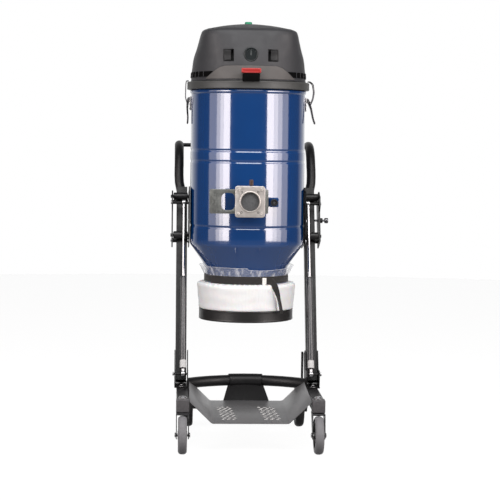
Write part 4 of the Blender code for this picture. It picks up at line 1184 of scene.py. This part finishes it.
def hood_latch():
    body = block("latch_housing", (-28.8, -221.8, 1223.2), (28.8, -203.4, 1250.8), 1.8)
    carve(body, rod("rim", (0, 0, 1190), (0, 0, 1228.0), RIM_R + 0.9, 160))
    grooves = [block("groove", (-20, -224, 1238 - 5 * k), (20, -221.0, 1239.2 - 5 * k)) for k in range(3)]
    carve(body, *grooves)
    dress(body, "hood", "black_plastic", "hood_latch_body", look=MATTE_AND_SHADE)
    lever = block("latch_flap", (-33.3, -223.8, 1251.7), (33.3, -204.7, 1268.3), 3.4, 5)
    scoop = rod("scoop", (-26, -234.0, 1256), (26, -234.0, 1256), 11.6, 64)
    carve(lever, scoop)
    ease(lever, 0.5, 2)
    dress(lever, "hood_latch_lever", "red_plastic", "hood_latch_lever")


# ---------------------------------------------------------------- frame

def handle():
    bend, sweep_by = 130.0, math.radians(69)
    ends = []
    for tag, side in SIDES:
        start, out = along(side * 228.6, 700, 0), along(side * 239, 800, 0)
        path = [start, along(side * 233, 722, 0), along(side * 237.6, 745, 0), along(side * 239, 772, 0), out]
        for k in range(1, 19):
            e = sweep_by * (1 - k / 18)
            path.append((side * 238.6, out[1] + bend * (math.sin(sweep_by) - math.sin(e)),
                         out[2] + bend * (math.cos(e) - math.cos(sweep_by))))
        tail = path[-1]
        path.append((side * 238.6, tail[1] + 20.5, tail[2]))
        arm = tube(f"handle_bow_{tag}", path, 16.5, 40)
        ease(arm, 1.0, 2, 60)
        dress(arm, "frame", "frame_black", *(["handle"] if side < 0 else []))
        ends.append(tail)
    y, z = ends[0][1] + 8, ends[0][2]
    dress(tube("handle_crossbar", [(-235, y, z), (235, y, z)], 7.0, 28), "frame", "frame_black")
    ribs = [(7.4, -109.8), (11.5, -109.8), (13.4, -107.5)]
    for k in range(22):
        x = -102 + 204 * k / 21
        ribs += [(13.4, x - 2.6), (12.5, x), (13.4, x + 2.6)]
    ribs += [(13.4, 107.5), (11.5, 109.8), (7.4, 109.8)]
    dress(turned("handle_sleeve", (0, y, z), (1, 0, 0), ribs, 48, 0.8), "frame", "black_plastic",
          "handle_grip")


def bow_path(half, steps):
    """The bowed cross tube: an arc from one foot to the other, bulging to the rear."""
    sag, reach = 82.0, 203.0
    bow = (reach * reach + sag * sag) / (2 * sag)
    far = math.asin(half / bow)
    path = []
    for k in range(steps + 1):
        a = far * (2 * k / steps - 1)
        path.append((bow * math.sin(a), -30.0 - bow + bow * math.cos(a), 182.0))
    return path


def lower_frame():
    bar = tube("bowed_tube", bow_path(216, 40), 18.9, 40)
    for side in (-1, 1):
        lo, hi = sorted((side * 202.6, side * 260))
        carve(bar, block("end", (lo, -190, 140), (hi, -60, 230)))
    dress(bar, "frame", "frame_black", "cross_tube")
    sleeve = tube("hanger_sleeve", bow_path(58, 16), 23.3, 40)
    top, low = (-44, 170), (-103.6, 119.4)
    bm = bmesh.new()
    outline = ((-61, 0), (61, 0), (79.5, 1), (-79.5, 1))
    face = []
    for lift_y, lift_z in ((1.6, 3.0), (-1.2, -1.2)):
        face.append([bm.verts.new(at(x, top[0] + (low[0] - top[0]) * v + lift_y,
                                     top[1] + (low[1] - top[1]) * v + lift_z))
                     for x, v in outline])
    bm.faces.new(face[0])
    bm.faces.new(face[1][::-1])
    bridge(bm, face[0], face[1])
    web = ease(from_bmesh("hanger_web", bm), 0.8, 2)
    dress(carve(web, tube("bore", bow_path(216, 40), 19.2, 40)), "frame", "frame_black", look=WEB)
    carve(sleeve, tube("bore", bow_path(216, 40), 19.2, 40))
    ease(sleeve, 0.5, 2, 40)
    dress(sleeve, "frame", "frame_black", "tray_hanger")
    for side in (-1, 1):
        x, y, z = bow_path(176, 2)[0 if side < 0 else 2]
        bolt_head(f"cross_bolt_{'L' if side < 0 else 'R'}", (x, y - 4, z - 16.5), (0, -0.35, -1), 13, 6,
                  "frame")


def tray():
    """The bent sheet under the bag, with two anti-slip patches of raised slots."""
    front_y, rear_y, t = -449.8, -106.2, 2.4

    def rise(y):
        return 98 + 21 * (y - front_y) / (rear_y - front_y)

    up = rounded_line([(-200.8, 72), (-127, 0), (127, 0), (200.8, 72)], 7.0, 6)
    back = rounded_line([(199.1, 73.7), (126, t), (-126, t), (-199.1, 73.7)], 6.0, 6)
    bm = bmesh.new()
    rings = []
    for y in (front_y, rear_y):
        rings.append([bm.verts.new(at(x, y, z + rise(y))) for x, z in up + back])
    bm.faces.new(rings[0])
    bm.faces.new(rings[1][::-1])
    bridge(bm, rings[0], rings[1])
    pan = from_bmesh("tray_pan", bm)
    carve(pan, tube("relief", bow_path(216, 40), 20.3, 40))
    ease(pan, 0.5, 2, 40)
    dress(pan, "frame", "tray_steel", "tray")
    for tag, x0, x1 in (("L", -101, -49), ("R", 40, 98)):
        bm = bmesh.new()
        for row in range(11):
            y = -394 + 18.0 * row
            for col in range(3):
                width = (x1 - x0) / 3
                mid = x0 + width * (col + 0.5) + (3.5 if row % 2 else -3.5) - (y + 300) * 0.08
                louvre(bm, mid, y, rise(y) + t - 0.3, width * 0.78)
        grip = from_bmesh(f"tray_grip_{tag}", bm)
        # The louvres are lighter than the tray: painted highlight on their raised edges.
        dress(grip, "frame", "tray_steel", look=SLOT_HIGHLIGHT)


def louvre(bm, x, y, z, width):
    """One pressed-up slot edge: a low ridge with rounded ends."""
    sections = []
    for k in range(9):
        t = k / 8 * 2 - 1
        h = 1.5 * math.sqrt(max(0.0, 1 - t * t)) + 0.15
        sections.append([bm.verts.new(at(x + t * width / 2,
                                         y + dy * (0.4 + 0.6 * math.sqrt(max(0.0, 1 - t * t))), z + dz * h))
                         for dy, dz in ((-2.4, 0.0), (-1.5, 0.75), (0.0, 1.0), (1.5, 0.75), (2.4, 0.0))])
    for one, two in zip(sections, sections[1:]):
        bridge(bm, one, two)
    bm.faces.new(sections[0])
    bm.faces.new(sections[-1][::-1])


def wheel(name, centre, r, half, body, slot):
    """A wheel with a crowned tyre and a hub with six holes. A caster's hub has a wider boss."""
    tyre_in = r * 0.74
    tyre = turned(name, centre, (1, 0, 0), [
        (tyre_in, -half * 0.86), (r * 0.86, -half * 0.94), (r * 0.93, -half * 0.82),
        (r * 0.985, -half * 0.5), (r, -half * 0.15), (r, half * 0.15), (r * 0.985, half * 0.5),
        (r * 0.93, half * 0.82), (r * 0.86, half * 0.94), (tyre_in, half * 0.86)], 96, 2.4)
    dress(tyre, body, slot, body)
    if r > 70:
        near = [(10.3, -half), (r * 0.29, -half), (r * 0.31, -half * 0.42), (r * 0.62, -half * 0.34),
                (r * 0.66, -half * 0.8)]
    else:
        near = [(5.2, -half), (14, -half), (15, -half * 0.5), (r * 0.62, -half * 0.45),
                (r * 0.66, -half * 0.9)]
    near.append((tyre_in, -half * 0.84))
    hub = turned(f"{name}_hub", centre, (1, 0, 0), near + [(x, -h) for x, h in near[::-1]], 96, 1.0)
    holes = []
    for k in range(6):
        a = math.tau * k / 6
        y, z = centre[1] + r * 0.47 * math.cos(a), centre[2] + r * 0.47 * math.sin(a)
        holes.append(rod("hole", (centre[0] - half - 4, y, z), (centre[0] + half + 4, y, z), r * 0.085, 28))
    carve(hub, *holes)
    dress(hub, body, "black_plastic")


def wheels():
    for tag, side in SIDES:
        wheel(f"rear_tyre_{tag}", (side * 199, AXLE_Y, REAR_R), REAR_R, 17.0, f"rear_wheel_{tag}",
              "black_tyre")
        wheel(f"caster_tyre_{tag}", (side * CASTER_X, CASTER_Y, CASTER_R), CASTER_R, 15.8,
              f"caster_wheel_{tag}", "grey_tyre")
        caster_fork(tag, side)
        cap = turned(f"axle_cap_{tag}", (side * 216.2, AXLE_Y, REAR_R), (side, 0, 0),
                     [(10.15, 0), (14.5, 0), (14.5, 2.4), (10.15, 2.4)], 48, 0.4)
        dress(cap, f"rear_wheel_{tag}", "zinc")
    axle = rod("wheel_axle", (-229.8, AXLE_Y, REAR_R), (229.8, AXLE_Y, REAR_R), 9.9, 48, 1.2)
    collar = rod("collar", (-181.4, AXLE_Y, REAR_R), (181.4, AXLE_Y, REAR_R), 12.9, 48, 1.0)
    carve(axle, collar, operation="UNION")
    dress(axle, "frame", "frame_black", "rear_axle")


def caster_fork(tag, side):
    """A pressed fork: crown with a bearing race, two legs and an axle bolt with nuts."""
    x = side * CASTER_X
    body = f"caster_fork_{tag}"
    fork = block(f"fork_crown_{tag}", (x - 21.4, KING_Y - 40, 127.7), (x + 21.4, KING_Y + 24, 133.5), 1.4)
    legs = []
    for s in (-1, 1):
        lo, hi = sorted((s * 18.4, s * 21.4))
        outline = [(KING_Y + 22, 129), (KING_Y - 38.6, 129)]
        for k in range(13):
            a = math.radians(170 + k * 15.35)
            outline.append((CASTER_Y + 13.8 * math.cos(a), CASTER_R + 13.8 * math.sin(a)))
        legs.append(slab("leg", outline, x + lo, x + hi, "X", 0.5))
    carve(fork, *legs, operation="UNION")
    carve(fork, rod("king", (x, KING_Y, 120), (x, KING_Y, 140), 8.2, 40))
    # The zinc fork gets the dark grey of its reflections: painted shade.
    dress(fork, body, "zinc", body, look=FORK_SHADE)
    dress(rod(f"fork_axle_{tag}", (x - 25.9, CASTER_Y, CASTER_R), (x + 25.9, CASTER_Y, CASTER_R), 4.9, 32,
              0.8), body, "zinc")
    for k, (a, b) in enumerate(((-25, -21.5), (21.5, 25))):
        nut = turned(f"fork_nut_{tag}_{k}", (x, CASTER_Y, CASTER_R), (1, 0, 0),
                     [(4.9, a), (8.3, a), (8.3, b), (4.9, b)], 6)
        dress(ease(nut, 0.5, 2), body, "zinc")
    race = turned(f"fork_race_{tag}", (x, KING_Y, 0), (0, 0, 1),
                  [(8.6, 133.5), (19.4, 133.5), (18.2, 136.6), (8.6, 136.6)], 60,
                  0.8)
    dress(race, body, "zinc")


def struts():
    for tag, side in SIDES:
        x = side * 221.0
        low_s, top_s, rod_s, end_s = 43, 375, 330, 636
        length = top_s - low_s
        axis = Vector(along(0, 1, STRUT_F)) - Vector(along(0, 0, STRUT_F))
        foot = along(x, low_s, STRUT_F)
        body = turned(f"strut_body_{tag}", foot, axis, [
            (0, 0), (8.4, 0), (10.8, 3), (10.9, 8), (10.9, length - 6), (10.4, length - 3), (9.0, length),
            (5.4, length), (5.4, length - 40), (0, length - 40)], 56, 1.0)
        dress(body, "frame", "strut_grey", f"strut_cylinder_{tag}")
        eye = along(x, 26, STRUT_F)
        lug = rod(f"strut_eye_{tag}", (x - 5.8, *eye[1:]), (x + 5.8, *eye[1:]), 9.9, 40, 0.9)
        carve(lug, rod("neck", eye, along(x, 45, STRUT_F), 5.9, 32), operation="UNION")
        carve(lug, rod("hole", (x - 16, *eye[1:]), (x + 16, *eye[1:]), 4.4, 32))
        dress(lug, "frame", "zinc")
        label = turned(f"strut_band_{tag}", foot, axis, [(10.95, 4), (11.15, 4), (11.15, 31), (10.95, 31)],
                       56)
        dress(label, "frame", "bag_white", look=LABEL)
        rod_low = along(x, rod_s, STRUT_F)
        reach = end_s - rod_s
        piston = turned(f"strut_piston_{tag}", rod_low, axis,
                        [(0, 0), (4.9, 0), (4.9, reach - 10), (6.4, reach - 8),
                         (6.4, reach + 8), (0, reach + 8)], 40, 0.6)
        dress(piston, "tank", "chrome", f"strut_rod_{tag}")
        head = along(x, 648, STRUT_F)
        lug = rod(f"piston_eye_{tag}", (x - 5.8, *head[1:]), (x + 5.8, *head[1:]), 9.9, 40, 0.9)
        carve(lug, rod("hole", (x - 16, *head[1:]), (x + 16, *head[1:]), 5.4, 32))
        dress(lug, "tank", "zinc")
        clip = rod(f"strut_pin_{tag}", (side * 252, *eye[1:]), (side * 256.8, *eye[1:]), 6.4, 32, 0.8)
        dress(clip, "frame", "zinc")


def rollers_and_pin():
    for tag, side in SIDES:
        for which, s in (("low", 535), ("top", 680)):
            p = along(0, s, 33.6)
            mid = side * 232.4
            name = f"guide_roller_{which}_{tag}"
            roll = turned(f"roller_{which}_{tag}", (mid, *p[1:]), (1, 0, 0), [
                (6.3, -25.8), (10.5, -25.8), (10.5, -24.6), (13.9, -24.6), (13.9, 24.6), (10.5, 24.6),
                (10.5, 25.8), (6.3, 25.8)], 56, 0.7)
            dress(roll, name, "black_plastic", name)
        for s, f in ((535, 33.6), (680, 33.6), (535, -27.6), (680, -27.6), (648, 60.0)):
            p = along(0, s, f)
            bolt_head(f"carriage_bolt_{tag}_{s}_{int(f)}".replace("-", "m"), (side * 264.3, *p[1:]),
                      (side, 0, 0), 11, 3.4, "tank")
        for y, z in ((-40, 810), (-40, 674), (-44, 745)):
            bolt_head(f"bracket_bolt_{tag}_{z}", (side * 205.0, y, z), (side, 0, 0), 9, 3.0, "tank")
    p = along(0, 605, 0)
    pin = turned("lock_pin_shaft", (0, *p[1:]), (1, 0, 0), [
        (0, 247.8), (3.1, 247.8), (3.9, 249.2), (3.9, 283), (8.8, 283.7), (9.8, 285.2), (9.2, 287),
        (9.8, 289), (9.8, 294), (8.4, 296.8), (0, 296.9)], 40, 0.5)
    dress(pin, "height_lock_pin", "zinc", "height_lock_pin", look=STEEL)


def feet():
    """End caps on the base tubes, and the bolts and washers of the feet."""
    for tag, side in SIDES:
        x = side * 223.0
        cap = block(f"tube_cap_{tag}", (x - 21.4, -455.7, 135.6), (x + 21.4, -416.0, 177.4), 2.4, 4)
        carve(cap, block("socket", (x - 20.2, -449.2, 136.8), (x + 20.2, -400, 176.2)))
        dress(cap, "frame", "black_plastic", look=CAP)
        for y in (-178, -74):
            washer = turned(f"foot_washer_{tag}_{abs(y)}", (side * 226, y, 180.2), (0, 0, 1),
                            [(0, 0), (10.5, 0), (10.5, 1.2), (0, 1.2)], 40, 0.3)
            dress(washer, "frame", "zinc")
            bolt_head(f"foot_bolt_{tag}_{abs(y)}", (side * 226, y, 186), (0, 0, 1), 11, 1.6, "frame")


# ---------------------------------------------------------------- studio

def light(name, spot, target, size, power, colour=(1.0, 1.0, 1.0)):
    data = bpy.data.lights.new(name, "AREA")
    data.shape = "RECTANGLE"
    data.size, data.size_y = size
    data.energy = power
    data.color = colour
    obj = put(name, data)
    obj.location = spot
    obj.rotation_mode = "QUATERNION"
    obj.rotation_quaternion = (Vector(target) - Vector(spot)).to_track_quat("-Z", "Y")


# Strip lights: name, the two bearings each lies between in degrees, and watts for each metre of width.
STRIPS = (("left_a", -37, -51, 48.0), ("left_b", -51, -58, 36.0), ("left_c", -58, -66, 22.0),
          ("left_d", -66, -84, 8.0), ("right_a", 35, 50, 48.0), ("right_b", 50, 59, 36.0),
          ("right_c", 59, 69, 24.0), ("right_d", 69, 84, 10.0))


def studio():
    bm = bmesh.new()
    bmesh.ops.create_circle(bm, cap_ends=True, segments=96, radius=7.0)
    floor = from_bmesh("floor", bm)
    floor.data.materials.append(GROUND)
    mid = at(0, 0, 0)
    away = 3.2
    for name, near, far, level in STRIPS:
        x, y = unit((near + far) / 2)
        spot = (mid.x + away * x, mid.y + away * y, 1.5)
        wide = 2 * away * math.tan(math.radians(abs(far - near) / 2))
        light(name, spot, (mid.x, mid.y, 1.2), (wide, 2.32), level * wide, (1.0, 0.925, 0.905))
    light("overhead", (mid.x, -2.5, 3.9), (mid.x, mid.y, 0.6), (3.4, 3.0), 140)
    world = bpy.data.worlds.new("studio")
    bpy.context.scene.world = world
    world.use_nodes = True
    tree = world.node_tree
    back = tree.nodes["Background"]
    back.inputs["Color"].default_value = (1.0, 1.0, 1.0, 1.0)
    where = tree.nodes.new("ShaderNodeTexCoord")
    split = tree.nodes.new("ShaderNodeSeparateXYZ")
    ramp = tree.nodes.new("ShaderNodeMapRange")
    seen = tree.nodes.new("ShaderNodeLightPath")
    pick = tree.nodes.new("ShaderNodeMix")
    tree.links.new(where.outputs["Generated"], split.inputs[0])
    tree.links.new(split.outputs["Y"], ramp.inputs["Value"])
    for key, value in (("From Min", 0.5), ("From Max", 0.97), ("To Min", 0.06), ("To Max", 1.0)):
        ramp.inputs[key].default_value = value
    tree.links.new(seen.outputs["Is Camera Ray"], pick.inputs["Factor"])
    tree.links.new(ramp.outputs["Result"], pick.inputs["A"])
    pick.inputs["B"].default_value = 1.0
    tree.links.new(pick.outputs["Result"], back.inputs["Strength"])
    bpy.context.scene.view_settings.view_transform = "Standard"


def camera():
    """The photograph's view: from the front, a little to the left, about a metre above the floor."""
    bearing, down, roll = math.radians(2.726), math.radians(3.733), math.radians(0.66)
    data = bpy.data.cameras.new("view")
    data.lens = 118.08
    data.sensor_width = 36.0
    eye = put("view", data)
    turn = Matrix.Rotation(-bearing, 4, "Z") @ Matrix.Rotation(math.pi / 2 - down, 4, "X")
    turn = turn @ Matrix.Rotation(roll, 4, "Z")
    distance, (x, y) = 5.77, unit(-2.6)
    axis = at(0, 0, 0)
    spot = Vector((axis.x + distance * x, axis.y + distance * y, 1.016))
    eye.matrix_world = Matrix.Translation(spot) @ turn
    bpy.context.scene.camera = eye


dress_nodes()
camera()
studio()
tank()
for side_tag, side_sign in SIDES:
    toggles(side_tag, side_sign)
inlet()
film_collar()
strap()
cassette()
cassette_band()
head_rim()
hood()
fascia()
rockers()
gauge()
button()
hood_latch()
handle()
lower_frame()
tray()
wheels()
struts()
rollers_and_pin()
feet()
